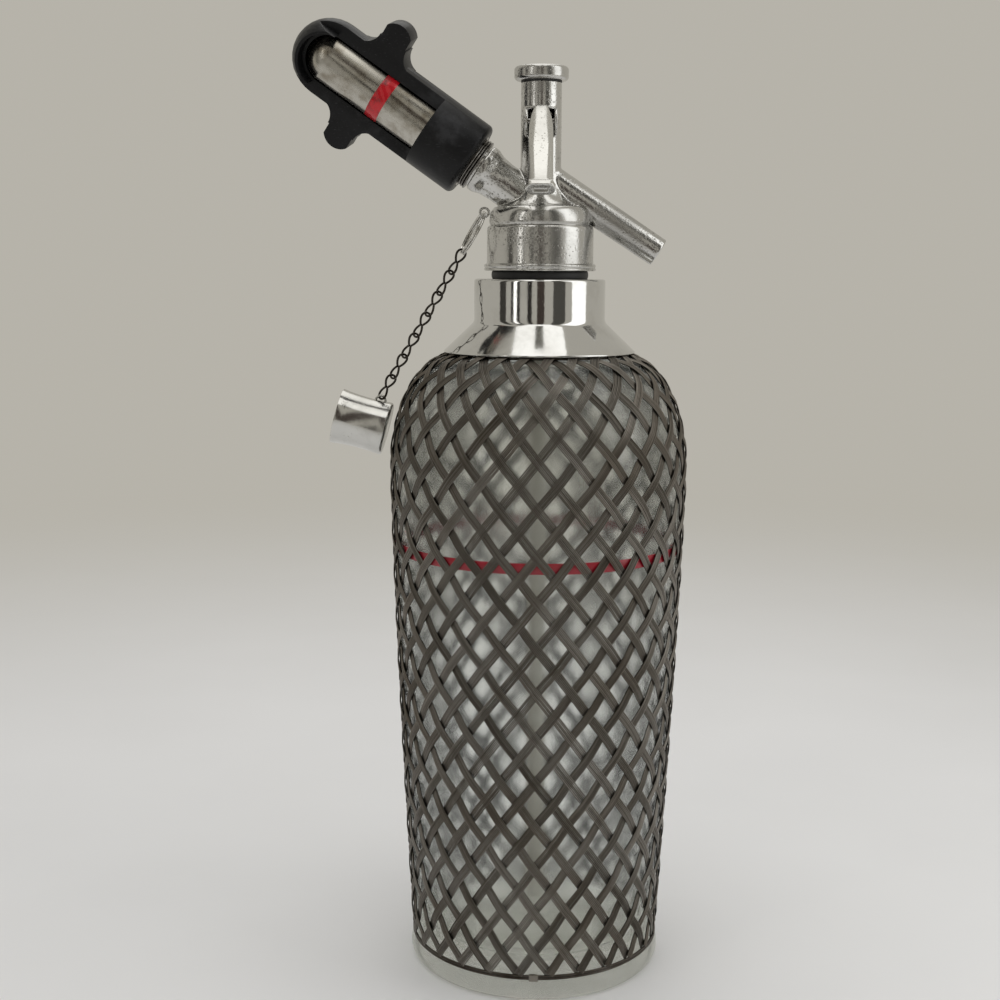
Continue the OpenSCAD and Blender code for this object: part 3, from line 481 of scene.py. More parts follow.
def make_glass():
    """Siphon glass under a dried film: hazy streaks down the side, ripples, and light let inside."""
    material, w, shader = new_finish("clear_glass", Metallic=0.0, Transmission_Weight=1.0, IOR=1.5)
    where = object_place(w)
    streaks = w.noise(where, 90.0, 4.0, 0.6, stretch=(1.0, 1.0, 0.12))
    film = use(w, stain, Scale=35.0, Low=0.35, High=0.7)["Mask"]
    cloud = w.sum("MULTIPLY", w.spread(streaks, 0.35, 0.7), film)
    w.join(w.blend(cloud, (0.94, 0.955, 0.94), (0.8, 0.81, 0.78)), shader.inputs["Base Color"])
    side = w.add("SeparateXYZ")
    w.join(where, side.inputs[0])
    above_foot = w.spread(side.outputs["Z"], 0.008, 0.014)
    haze = w.spread(cloud, 0.0, 1.0, 0.1, 0.3, smooth=False)
    w.join(w.spread(above_foot, 0.0, 1.0, 0.05, haze, smooth=False), shader.inputs["Roughness"])
    ripples = w.noise(where, 42.0, 2.0, 0.4, stretch=(1.0, 1.0, 0.35))
    add_bump(w, shader, ripples, 0.5)
    clear = w.add("BsdfTransparent")
    clear.inputs["Color"].default_value = (0.94, 0.95, 0.93, 1)
    mix = w.add("MixShader")
    seen_through = w.spread(side.outputs["Z"], 0.006, 0.05, 0.55, 0.1)
    w.join(w.sum("MAXIMUM", w.add("LightPath").outputs["Is Shadow Ray"], seen_through), mix.inputs[0])
    w.join(shader.outputs[0], mix.inputs[1])
    w.join(clear.outputs[0], mix.inputs[2])
    w.join(mix.outputs[0], material.node_tree.nodes["Material Output"].inputs["Surface"])
    return material


def make_sleeve_wire():
    """Dull steel wire, no two strands quite alike, browner where it has tarnished, with painted shade that
    darkens each wire nearly to black in the joints between wires.
    """
    material, w, shader = new_finish("sleeve_wire", Metallic=1.0)
    strand = w.add("Attribute", attribute_name="strand").outputs["Fac"]
    tarnish = use(w, stain, Scale=28.0, Low=0.38, High=0.68)["Mask"]
    tone = w.blend(strand, (0.13, 0.118, 0.1), (0.36, 0.335, 0.3))
    brown = w.blend(strand, (0.09, 0.078, 0.062), (0.24, 0.21, 0.175))
    # painted shade: each wire keeps its tone on its crest and goes nearly black down its sides and underside,
    # where it meets the next wire
    lit = w.spread(w.add("Attribute", attribute_name="crest").outputs["Fac"], 0.15, 0.95)
    w.join(w.blend(lit, (0.022, 0.019, 0.015), w.blend(tarnish, tone, brown)), shader.inputs["Base Color"])
    grain = w.noise(object_place(w), 900.0, 3.0, 0.6)
    w.join(w.spread(grain, 0.3, 0.7, 0.3, 0.5), shader.inputs["Roughness"])
    add_bump(w, shader, grain, 0.02)
    return material


def make_black_plastic():
    """Black moulded resin: satin, with grey scuffs and fine scratches."""
    material, w, shader = new_finish("black_resin", Metallic=0.0, Specular_IOR_Level=0.22)
    scuff = use(w, stain, Scale=75.0, Low=0.5, High=0.72)["Mask"]
    lines = use(w, scratches, Scale=240.0, Amount=0.9)["Lines"]
    worn = w.sum("MAXIMUM", w.sum("MULTIPLY", scuff, 0.45), lines)
    w.join(w.blend(worn, (0.007, 0.007, 0.0075), (0.05, 0.05, 0.052)), shader.inputs["Base Color"])
    w.join(w.spread(worn, 0.0, 1.0, 0.36, 0.6), shader.inputs["Roughness"])
    add_bump(w, shader, w.noise(object_place(w), 1100.0, 3.0), 0.03)
    return material


def make_bulb_steel():
    """Plated bulb steel, streaked along its length, with brown stains."""
    material, w, shader = new_finish("bulb_steel", Metallic=1.0)
    turn = w.add("Mapping")
    w.join(object_place(w), turn.inputs["Vector"])
    turn.inputs["Rotation"].default_value = (0, math.radians(90 - INLET_SLOPE), 0)
    streaks = w.noise(turn.outputs["Vector"], 420.0, 4.0, 0.6, stretch=(1.0, 1.0, 0.12))
    brown = use(w, stain, Scale=110.0, Low=0.42, High=0.66)["Mask"]
    w.join(w.blend(brown, (0.52, 0.5, 0.45), (0.3, 0.27, 0.22)), shader.inputs["Base Color"])
    w.join(w.spread(streaks, 0.3, 0.7, 0.14, 0.34), shader.inputs["Roughness"])
    add_bump(w, shader, streaks, 0.03)
    return material


clear_glass = make_glass()
sleeve_wire = make_sleeve_wire()
bulb_steel = make_bulb_steel()
black_resin = make_black_plastic()

collar_chrome = plated(
    "collar_chrome", (0.7, 0.7, 0.685), (0.44, 0.43, 0.4), (0.07, 0.3), 0.25, 0.02, wave=1.5)
worn_chrome = plated("worn_chrome", (0.62, 0.615, 0.595), (0.27, 0.26, 0.24), (0.16, 0.5), 1.0, 0.06)
lever_chrome = plated("lever_chrome", (0.68, 0.675, 0.645), (0.34, 0.33, 0.3), (0.2, 0.5), 0.9, 0.05)
cap_tin = plated("cap_tin", (0.64, 0.635, 0.61), (0.36, 0.35, 0.315), (0.14, 0.4), 0.5, 0.03, wave=2.0)

band_wire = drawn_metal("band_wire", (0.11, 0.098, 0.085), (0.06, 0.05, 0.04), (0.3, 0.5))
clip_tin = drawn_metal("clip_tin", (0.26, 0.24, 0.21), (0.14, 0.12, 0.1), (0.25, 0.4))
turned_brass = drawn_metal("turned_brass", (0.52, 0.38, 0.14), (0.3, 0.2, 0.07), (0.25, 0.45))
spring_steel = drawn_metal("spring_steel", (0.5, 0.49, 0.47), (0.32, 0.3, 0.27), (0.2, 0.35))
ring_chrome = drawn_metal("ring_chrome", (0.8, 0.79, 0.76), (0.55, 0.53, 0.49), (0.1, 0.24))
chain_steel = drawn_metal("chain_steel", (0.075, 0.066, 0.056), (0.035, 0.026, 0.02), (0.3, 0.5))
thread_steel = drawn_metal("thread_steel", (0.26, 0.25, 0.235), (0.12, 0.11, 0.1), (0.16, 0.3))

red_enamel = stained(
    "red_enamel", ((0.3, 0.005, 0.016), (0.18, 0.004, 0.01)), (0.28, 0.45), (150.0, 0.35, 0.7), 700.0, 0.03,
    Metallic=0.0, Coat_Weight=0.3)
band_red = stained(
    "band_red", ((0.5, 0.008, 0.015), (0.2, 0.012, 0.014)), (0.2, 0.4), (320.0, 0.45, 0.7), 900.0, 0.03,
    Metallic=0.25, Coat_Weight=0.4)
black_rubber = stained(
    "black_rubber", ((0.014, 0.014, 0.014), (0.035, 0.034, 0.032)), (0.5, 0.7), (120.0, 0.4, 0.7), 1500.0,
    0.02, Metallic=0.0)
milky_tube = stained(
    "milky_tube", ((0.74, 0.72, 0.66), (0.6, 0.57, 0.5)), (0.35, 0.5), (60.0, 0.35, 0.7), 500.0, 0.02,
    Metallic=0.0)

# ---------------------------------------------------------------- bottle


def side_r(z):
    """Radius of the glass at a height on its side."""
    rise = 1 - (z - FOOT_BEAD_H) / (SHOULDER_Z - FOOT_BEAD_H)
    return GLASS_FOOT_R + (GLASS_R - GLASS_FOOT_R) * (1 - max(rise, 0) ** 1.3)


def side_line(steps):
    heights = [FOOT_BEAD_H + (SHOULDER_Z - FOOT_BEAD_H) * i / steps for i in range(steps + 1)]
    return [(side_r(z), z) for z in heights]


def shoulder_line(end, steps, inset=0.0):
    return arc(SHOULDER_MID_R, SHOULDER_Z, SHOULDER_DRAW - inset, SHOULDER_RISE - inset, 0, end, steps)


NECK_ROOT_R = NECK_R + NECK_FILLET
slope_r, slope_z = shoulder_line(SHOULDER_END, 1)[-1]
slope_rate = (SHOULDER_RISE * math.cos(math.radians(SHOULDER_END))
              / (SHOULDER_DRAW * math.sin(math.radians(SHOULDER_END))))
NECK_ROOT_Z = slope_z + (slope_r - NECK_ROOT_R) * slope_rate


def make_bottle():
    """The bottle in one outline: foot, side, shoulder, neck, lip, and back down the inside."""
    lip_round = 1.2
    foot = arc(BASE_R, FOOT_BEAD_H / 2, FOOT_BEAD_R - BASE_R, FOOT_BEAD_H / 2, -90, 66, 18)
    root = arc(NECK_ROOT_R, NECK_ROOT_Z + NECK_FILLET, NECK_ROOT_R - NECK_R, NECK_FILLET, 270, 180, 8)
    lip = [(NECK_R, RIM_Z - LIP_H), (LIP_R, RIM_Z - LIP_H + 1)]
    lip += arc(LIP_R - lip_round, RIM_Z - lip_round, lip_round, lip_round, 0, 90, 6)
    neck_in_z = NECK_ROOT_Z + NECK_FILLET
    mouth = [(MOUTH_R, RIM_Z), (MOUTH_R, neck_in_z), (MOUTH_R + 2.5, neck_in_z - 3)]
    corner_z = GLASS_FLOOR + FLOOR_ROUND
    corner_r = side_r(corner_z) - GLASS_WALL - FLOOR_ROUND
    inner = arc(corner_r, corner_z, FLOOR_ROUND, FLOOR_ROUND, -90, 0, 10)
    inner += [(r - GLASS_WALL, z) for r, z in side_line(24) if z > corner_z + 1]
    inner += shoulder_line(72, 18, GLASS_WALL)[1:]
    outline = [(0, 0)] + foot + side_line(24) + shoulder_line(SHOULDER_END, 24)[1:] + root + lip
    bottle = turned("glass", outline + mouth + inner[::-1] + [(0, GLASS_FLOOR)], 160)
    finish(bottle, "bottle", "glass", clear_glass, "glass_bottle", smooth=40)


def make_fill_line():
    back, edge, proud, fade = 0.03, 0.1, 0.2, 0.3
    low, high = FILL_LINE_Z - FILL_LINE_W / 2, FILL_LINE_Z + FILL_LINE_W / 2
    section = [(low, back), (low, edge), (low + fade, proud)]
    section += [(high - fade, proud), (high, edge), (high, back)]
    outline = [(side_r(z) + off, z) for z, off in section]
    line = turned("fill_line_enamel", outline + outline[:1], 160)
    finish(line, "bottle", "red_enamel", red_enamel, "fill_line")


# ---------------------------------------------------------------- woven sleeve

sleeve_path = side_line(40) + shoulder_line(SHOULDER_END + 5, 40)[1:]
sleeve_s = [0.0]
for (r0, z0), (r1, z1) in zip(sleeve_path, sleeve_path[1:]):
    sleeve_s.append(sleeve_s[-1] + math.hypot(r1 - r0, z1 - z0))
WEAVE_S0 = BAND_Z + 4 * BAND_WIRE_R + 0.35 - FOOT_BEAD_H
WEAVE_S1 = next(s for s, (r, z) in zip(sleeve_s, sleeve_path)
                if z >= shoulder_line(SHOULDER_END, 1)[-1][1] - 0.05)


def on_path(s):
    """The sleeve line's radius and height at a length along it."""
    for i in range(1, len(sleeve_s)):
        if s <= sleeve_s[i] or i == len(sleeve_s) - 1:
            t = (s - sleeve_s[i - 1]) / (sleeve_s[i] - sleeve_s[i - 1])
            (r0, z0), (r1, z1) = sleeve_path[i - 1], sleeve_path[i]
            return r0 + (r1 - r0) * t, z0 + (z1 - z0) * t


def sleeve_frame(q, hand, start, off):
    """Point over the glass at row q of a ribbon, and the glass's outward direction there."""
    s = WEAVE_S0 + (WEAVE_S1 - WEAVE_S0) * q / WEAVE_ROWS
    (r, z), (r_low, z_low), (r_up, z_up) = on_path(s), on_path(s - 1), on_path(s + 1)
    flat = Vector((z_up - z_low, 0, r_low - r_up)).normalized()
    a = math.radians(start + hand * q * 180 / RIBBONS)
    out = Vector((flat.x * math.cos(a), flat.x * math.sin(a), flat.z))
    return Vector((r * math.cos(a), r * math.sin(a), z)) + out * off, out


def row_marks():
    """Rows where a strand has a point: three to a crossing, four on the tight curve of the shoulder."""
    side_rows = WEAVE_ROWS - SHOULDER_ROWS
    marks = [k / 3 for k in range(3 * side_rows)]
    return marks + [side_rows + k / 4 for k in range(4 * SHOULDER_ROWS + 1)]


def mark_strands(sleeve, paths, tones, outward):
    """Gives each point its strand's tone, and its height on the strand: 1 on the crest, 0 at the joints,
    where the wire's finish paints shade.
    """
    rows = len(paths[0])
    lookup = KDTree(len(paths) * rows)
    for wire, path in enumerate(paths):
        for row, point in enumerate(path):
            lookup.insert(point, wire * rows + row)
    lookup.balance()
    tone_values, crest_values = [], []
    for vertex in sleeve.data.vertices:
        spot = vertex.co / MM
        point, index, _ = lookup.find(spot)
        wire, row = divmod(index, rows)
        tone_values.append(tones[wire])
        crest_values.append((spot - point).dot(outward[wire][row]) / WIRE_R)
    for label, values in (("strand", tone_values), ("crest", crest_values)):
        sleeve.data.attributes.new(label, "FLOAT", "POINT").data.foreach_set("value", values)


def make_ribbons(name, hand, node, seed):
    """The ribbons of one hand, each of round wires that lie side by side and wander a little."""
    full_turn = 6.3
    shake = random.Random(seed)
    marks = row_marks()
    paths, tones, outward = [], [], []
    for ribbon in range(RIBBONS):
        start = ribbon * 360 / RIBBONS
        sway = [(shake.uniform(0.3, 1.1), shake.uniform(0, full_turn)) for _ in range(2)]
        ribbon_tone = shake.uniform(0.2, 0.6)
        middle = []
        for q in marks:
            point, out = sleeve_frame(q, hand, start, STRAND_MID + hand * STRAND_LIFT * math.cos(math.pi * q))
            before, _ = sleeve_frame(q - 0.1, hand, start, STRAND_MID)
            after, _ = sleeve_frame(q + 0.1, hand, start, STRAND_MID)
            across = (after - before).normalized().cross(out)
            drift = sum(0.07 * math.sin(rate * q + phase) for rate, phase in sway)
            middle.append((point, out, across, drift))
        for wire in range(WIRES_IN_RIBBON):
            side = (wire - (WIRES_IN_RIBBON - 1) / 2) * RIBBON_W / WIRES_IN_RIBBON
            rate, phase = shake.uniform(0.4, 1.4), shake.uniform(0, full_turn)
            rate_out, phase_out = shake.uniform(0.5, 1.6), shake.uniform(0, full_turn)
            paths.append([
                point + across * (side + drift + 0.035 * math.sin(rate * q + phase))
                + out * 0.03 * math.sin(rate_out * q + phase_out)
                for q, (point, out, across, drift) in zip(marks, middle)])
            tones.append(min(1, max(0, ribbon_tone + shake.uniform(-0.25, 0.35))))
            outward.append([out for _, out, _, _ in middle])
    sleeve = wires(name, paths, WIRE_R)
    mark_strands(sleeve, paths, tones, outward)
    finish(sleeve, "bottle", "sleeve_wire", sleeve_wire, node, smooth=75)


def hoop(name, r, z, wire_r):
    """A round wire bent into a level hoop."""
    deselect()
    bpy.ops.mesh.primitive_torus_add(
        major_segments=180, minor_segments=12, major_radius=r * MM, minor_radius=wire_r * MM,
        location=(0, 0, z * MM))
    piece = bpy.context.active_object
    bpy.ops.object.transform_apply(location=True, rotation=True, scale=True)
    piece.name = piece.data.name = name
    return piece


def make_sleeve_hoops():
    """The two wires round the sleeve's foot and the small tin clip that joins them."""
    band_h = 4 * BAND_WIRE_R + 0.05
    band_r = side_r(BAND_Z + band_h / 2) + SLEEVE_GAP + RIBBON_T / 2 + WEAVE_LIFT
    band = joined("foot_band_wires", [
        hoop("low", band_r, BAND_Z + BAND_WIRE_R, BAND_WIRE_R),
        hoop("high", band_r, BAND_Z + band_h - BAND_WIRE_R, BAND_WIRE_R)])
    finish(band, "bottle", "sleeve_wire", band_wire, "mesh_foot_band", smooth=60)
    clip = copy_of_solid("mesh_band_clip", "foot_band_clip")
    apply_modifier(clip, "BEVEL", width=0.08 * MM, segments=2, limit_method="ANGLE", angle_limit=0.7)
    finish(clip, "bottle", "sleeve_clip", clip_tin, "mesh_band_clip")


# ---------------------------------------------------------------- collar


def make_collar():
    """The thin sheet collar with a rolled edge, and the dark ring that the head sits down on."""
    fillet, corner, bead, slope_top = 3.0, 1.0, 0.45, SKIRT_Z + SKIRT_H
    gasket_r, gasket_half_w, gasket_half_h = 17.2, 0.5, 1.44

    def turn(out):
        return arc(COLLAR_R + fillet, slope_top, fillet - out, fillet - out, 228, 180, 12)

    outer = arc(SKIRT_R - bead, SKIRT_Z + bead, bead, bead, -60, 50, 6) + turn(0)
    outer += arc(COLLAR_R - corner, COLLAR_TOP - corner, corner, corner, 0, 90, 8)
    inner = [(COLLAR_HOLE_R, COLLAR_TOP), (COLLAR_HOLE_R, COLLAR_TOP - COLLAR_T)]
    inner += [(COLLAR_R - COLLAR_T, COLLAR_TOP - COLLAR_T)]
    inner += turn(-COLLAR_T)[::-1] + [(SKIRT_R - COLLAR_T - 0.2, SKIRT_Z)]
    outline = outer + inner
    collar = turned("collar", outline + outline[:1], 160)
    finish(collar, "bottle", "polished_chrome", collar_chrome, "shoulder_collar", smooth=30)
    section = arc(gasket_r, COLLAR_TOP + 1.45, gasket_half_w, gasket_half_h, 0, 360, 16)
    gasket = turned("gasket_ring", section, 96)
    finish(gasket, "bottle", "rubber", black_rubber, "neck_gasket")


# ---------------------------------------------------------------- head


def dome_line(from_r, to_r, steps, drop=0.0):
    """The hollow sweep from the ridge round the crown up to the tower."""
    rx = RIDGE_R - TOWER_R
    a0, a1 = (360 - math.degrees(math.acos((r - RIDGE_R) / rx)) for r in (from_r, to_r))
    return [(r, z - drop) for r, z in arc(RIDGE_R, CROWN_Z + DOME_H, rx, DOME_H, a0, a1, steps)]


def make_head_skirt():
    """The head's lower wall with its double lip, hollow over the neck, up past the ridge round the crown."""
    edge, corner, wall_top = 0.7, 1.5, HEAD_Z + 16.3
    under_crown = CROWN_Z - 0.9
    lip = arc(FLANGE_R - 0.42, HEAD_Z + 0.5, 0.42, 0.5, -90, 70, 6)
    lip += arc(FLANGE_R - 0.42, HEAD_Z + 1.75, 0.42, 0.62, -60, 90, 7)
    wall = [(HEAD_R + 0.1, HEAD_Z + 2.6), (HEAD_R, HEAD_Z + 3.4), (HEAD_R, wall_top - corner)]
    wall += arc(HEAD_R - corner, wall_top - corner, corner, corner, 15, 80, 8)
    bulge_r, bulge_z = HEAD_R - 0.8, wall_top + 1.1
    bulge = arc(RIDGE_R, bulge_z, bulge_r - RIDGE_R, CROWN_Z - bulge_z, 0, 86, 16)
    inside = [(12.9, under_crown), (0, under_crown), (0, CEILING_Z), (HEAD_BORE_R, CEILING_Z),
              (HEAD_BORE_R, HEAD_Z + edge), (HEAD_BORE_R + edge, HEAD_Z)]
    outline = lip + wall + bulge + dome_line(15.6, 13.4, 4) + inside
    skirt = turned("head_skirt", outline + outline[:1], 160)
    finish(skirt, "head", "worn_chrome", worn_chrome, smooth=30)


def make_casting():
    """Crown, tower, spout, inlet neck and lever cheeks in one casting, with softened creases."""
    sunk, foot_r, foot_z = 0.05, 15.0, CROWN_Z - 1.8
    spout_r, spout_end_r, spout_bore_r = 5.6, 5.25, 2.9
    cheeks_w, cheeks_r, slot_w = 11.6, 4.75, 9.2
    dome = dome_line(foot_r, 12.6, 5, sunk) + dome_line(12.4, TOWER_R + 0.001, 16)
    crown = [(0, foot_z), (foot_r, foot_z)] + dome + [(TOWER_R, TOWER_TOP), (0, TOWER_TOP)]
    body = turned("casting", crown, 96)
    combine(body, rod(spout_r, SPOUT_L, SPOUT, spout_end_r), "UNION")
    neck_line = [(0, 4), (7.5, 4), (7.5, 17.8), (7.9, 21.8), (8.95, 24.5), (8.95, 26.8), (0, 26.8)]
    combine(body, put(turned("neck", neck_line, 64), INLET), "UNION")
    combine(body, rod(cheeks_r, cheeks_w, place(-cheeks_w / 2, PIN_Y, PIN_Z, [(90, "Y")])), "UNION")
    combine(body, block((cheeks_w, 4.0, 2 * cheeks_r), place(0, PIN_Y + 2.0, PIN_Z)), "UNION")
    combine(body, block((slot_w, 16.0, slot_w), place(0, PIN_Y - 3.5, PIN_Z - 0.6)), "DIFFERENCE")
    combine(body, rod(spout_bore_r, 14, SPOUT @ place(z=SPOUT_L - 13)), "DIFFERENCE")
    combine(body, rod(6.45, 12, INLET @ place(z=20)), "DIFFERENCE")
    apply_modifier(body, "REMESH", mode="VOXEL", voxel_size=0.38 * MM)
    apply_modifier(body, "SMOOTH", factor=0.5, iterations=6)
    finish(body, "head", "worn_chrome", worn_chrome, "head_body", smooth=60)


def make_tower_cap():
    """The screwed cap on the tower: a plug below, and a round-edged disc a little domed on top."""
    z0, z1, r = TOWER_TOP + 0.5, TOWER_TOP + 5.5, TOWER_CAP_R
    plug_r, plug_h, low_round, top_round = 4.95, 3.5, 1.5, 1.3
    outline = [(0, z0 - plug_h), (plug_r, z0 - plug_h), (plug_r, z0), (r - 1.6, z0)]
    outline += arc(r - low_round, z0 + low_round, low_round, low_round, -70, 0, 6)
    outline += arc(r - top_round, z1 - top_round, top_round, top_round, 0, 80, 8)
    outline += [(r - 2.2, z1 - 0.12), (5.0, z1 + 0.05), (0, z1 + 0.15)]
    cap = turned("tower_top", outline, 128)
    finish(cap, "head", "worn_chrome", worn_chrome, "tower_cap", smooth=30)


def make_lever():
    """The thumb lever: arched at the top, gently rounded across its face, flared to a hollow lip."""
    arch_h, arch_w, depth, drop = 10.4, 4.3, 90, 50
    arch_foot = PIN_Z + 6.3 - arch_h
    face_r = 6.6
    lever = copy_of_solid("lever", "thumb_lever")
    arch_spot = place(0, depth / 2, arch_foot, [(90, "X")]) @ Matrix.Diagonal((arch_w, arch_h, 1, 1))
    arch = rod(1, depth, arch_spot)
    combine(arch, block((14, depth, drop), place(0, 0, arch_foot - drop / 2)), "UNION")
    combine(lever, arch, "INTERSECT")
    face = rod(face_r, 70, LEVER @ place(0, 0.28, 12, [(184.87, "X")]))
    combine(face, block((14, 14, 6), LEVER @ place(0, 0, -37.7)), "UNION")
    combine(lever, face, "INTERSECT")
    combine(lever, rod(TOWER_R + 0.35, 20, place(z=PIN_Z + 3.2)), "DIFFERENCE")
    apply_modifier(lever, "REMESH", mode="VOXEL", voxel_size=0.26 * MM)
    apply_modifier(lever, "SMOOTH", factor=0.5, iterations=6)
    finish(lever, "lever", "worn_chrome", lever_chrome, "lever", smooth=60)


def make_inlet():
    """The threaded gas inlet in the neck, mostly inside the holder."""
    stem_r, nipple_r, bore_r = 6.4, 8.2, 4.8
    outline = [(0, 22.2), (stem_r, 22.2), (stem_r, 26.8), (nipple_r, 26.8), (nipple_r, 43.2)]
    outline += [(nipple_r - 0.8, 44.0), (bore_r, 44.0), (bore_r, 34.9), (0, 34.9)]
    nipple = turned("nipple", outline, 96)
    finish(put(nipple, INLET), "head", "worn_chrome", worn_chrome, "inlet_nipple", smooth=30)


# ---------------------------------------------------------------- bulb and holder


def make_bulb():
    """The gas bulb, mouth down on the washer, and its painted band."""
    mouth_r, mouth_depth, mouth_round, neck_l = 1.3, 2.6, 0.8, 7.7
    shoulder_s = BULB_SEAT_S + neck_l + 6
    mid_s = BULB_SEAT_S + BULB_L - BULB_R
    face_r = BULB_NECK_R - mouth_round
    outline = [(0, BULB_SEAT_S + mouth_depth), (mouth_r, BULB_SEAT_S + mouth_depth), (mouth_r, BULB_SEAT_S)]
    outline += [(face_r, BULB_SEAT_S)]
    outline += arc(face_r, BULB_SEAT_S + mouth_round, mouth_round, mouth_round, -60, 0, 4)
    outline += [(BULB_NECK_R, BULB_SEAT_S + neck_l)]
    outline += arc(5.0, shoulder_s, 4.0, 4.5, -50, 0, 8) + arc(0, mid_s, BULB_R, BULB_R, 0, 90, 20)
    bulb = turned("bulb", outline, 96)
    finish(put(bulb, INLET), "bulb", "bulb_steel", bulb_steel, "gas_bulb", smooth=35)
    back, edge, proud = BULB_R + 0.03, BULB_R + 0.12, BULB_R + 0.2
    half, fade = BULB_BAND_W / 2, 0.3
    section = [(back, -half), (edge, -half), (proud, fade - half)]
    section += [(proud, half - fade), (edge, half), (back, half)]
    ring = [(r, BULB_BAND_S + along) for r, along in section]
    band = turned("bulb_stripe", ring + ring[:1], 96)
    finish(put(band, INLET), "bulb", "red_paint", band_red, "bulb_band")


def make_holder():
    """The moulded holder, its edges rounded as they leave the mould."""
    holder = copy_of_solid("bulb_holder", "holder")
    apply_modifier(
        holder, "BEVEL", width=0.45 * MM, segments=3, limit_method="ANGLE", angle_limit=math.radians(32))
    finish(holder, "holder", "black_plastic", black_resin, "bulb_holder", smooth=35)


def make_insert():
    """The holder's metal insert, with three fine rings at its mouth."""
    lead, end = HOLDER_S - 2.9, 43.8
    r, bore_r, body_r, root_r = 9.7, 8.28, 9.3, 10.4
    outline = [(bore_r, lead), (r - 0.35, lead)]
    for ridge in range(3):
        s = lead + 0.95 * ridge
        outline += arc(r - 0.32 - 0.08 * ridge, s + 0.42, 0.36, 0.36, -80, 80, 5)
        outline += [(r - 0.62, s + 0.9)]
    outline += [(body_r, HOLDER_S - 0.05), (body_r, HOLDER_S), (root_r, HOLDER_S)]
    outline += [(root_r, end), (bore_r, end)]
    insert = turned("holder_thread", outline + outline[:1], 96)
    finish(put(insert, INLET), "holder", "worn_chrome", thread_steel, "holder_insert", smooth=30)


# ---------------------------------------------------------------- chain and inlet cap

cap_along = (math.cos(math.radians(CAP_TILT)), -math.sin(math.radians(CAP_TILT)))
cap_up = (math.sin(math.radians(CAP_TILT)), math.cos(math.radians(CAP_TILT)))
loop_top = tuple(CAP_MID[i] + cap_up[i] * (CAP_R + LOOP_R) + cap_along[i] * CAP_LOOP_S for i in (0, 1))
run = math.hypot(loop_top[0] - EYELET[0], loop_top[1] - EYELET[1])
chain_dir = tuple((loop_top[i] - EYELET[i]) / run for i in (0, 1))
CHAIN_LEAN = math.degrees(math.atan2(-chain_dir[0], -chain_dir[1]))
ring_bottom = tuple(EYELET[i] + chain_dir[i] * 2 * RING_MID_R for i in (0, 1))
RING_HOOK = RING_WIRE / 2 + LINK_WIRE_R + HOOK_GAP
LINK_HOOK = 2 * LINK_WIRE_R + HOOK_GAP
LINK_PITCH = (math.hypot(loop_top[0] - ring_bottom[0], loop_top[1] - ring_bottom[1])
              + RING_HOOK + LOOP_WIRE_R + LINK_WIRE_R + HOOK_GAP - LINK_HOOK) / LINKS
CHAIN = place(ring_bottom[0], 0, ring_bottom[1], [(CHAIN_LEAN, "Y"), (CHAIN_TWIST, "Z")])


def make_eyelet():
    """The eyelet on the head's wall that carries the split ring."""
    eye_r, eye_wire_r, stem_r, stem_l = 1.6, 0.45, 0.6, 0.55
    deselect()
    bpy.ops.mesh.primitive_torus_add(
        major_segments=48, minor_segments=12, major_radius=eye_r * MM, minor_radius=eye_wire_r * MM)
    eye = put(bpy.context.active_object, place(EYELET[0], 0, EYELET[1], [(90, "X")]))
    stem = rod(stem_r, stem_l, place(EYELET[0] + eye_r, 0, EYELET[1], [(90, "Y")]), steps=24)
    combine(eye, stem, "UNION")
    eye.name = eye.data.name = "eyelet"
    finish(eye, "head", "worn_chrome", worn_chrome, "chain_eyelet", smooth=40)


def make_split_ring():
    """Two turns of round wire, one beside the other, crossing over where the ring opens."""
    steps, half_gap = 192, 0.42
    path = []
    for step in range(steps + 1):
        a = 4 * math.pi * step / steps
        shift = half_gap * math.tanh((step - steps / 2) / 7)
        path.append((RING_MID_R * math.cos(a), RING_MID_R * math.sin(a), shift))
    ring = wires("key_ring", [path], RING_WIRE_R, sides=10)
    middle = place(EYELET[0] + chain_dir[0] * RING_MID_R, 0, EYELET[1] + chain_dir[1] * RING_MID_R,
                   [(CHAIN_LEAN, "Y"), (RING_TWIST, "Z"), (90, "Y"), (200, "Z")])
    finish(put(ring, middle), "ring", "ring_steel", ring_chrome, "split_ring", smooth=50)


def link_path(reach):
    """One wire bent into two loops a quarter turn apart, its strands crossing in the middle."""
    steps, loop_half_w, cross_half_w = 28, 2.27, 0.42
    path = []
    for loop in (0, 1):
        for step in range(steps):
            a = 2 * math.pi * step / steps
            side = loop_half_w * math.sin(a) * math.sin(a / 2) + cross_half_w * math.cos(a / 2)
            rise = reach * (1 - math.cos(a)) / 2
            path.append((side, 0, rise) if loop == 0 else (0, side, -rise))
    return path


def make_chain():
    """One link, copied down the chain."""
    reach = (LINK_PITCH + LINK_HOOK) / 2
    first = wires("link", [link_path(reach)], LINK_WIRE_R, closed=True, sides=10)
    for index in range(LINKS):
        pick(first)
        bpy.ops.object.duplicate()
        link = bpy.context.active_object
        link.name = link.data.name = f"jack_link_{index + 1}"
        put(link, CHAIN @ place(z=RING_HOOK - index * LINK_PITCH - reach))
        finish(link, f"link_{index + 1}", "chain_steel", chain_steel, f"chain_link_{index + 1}", smooth=60)
    bpy.data.objects.remove(first)


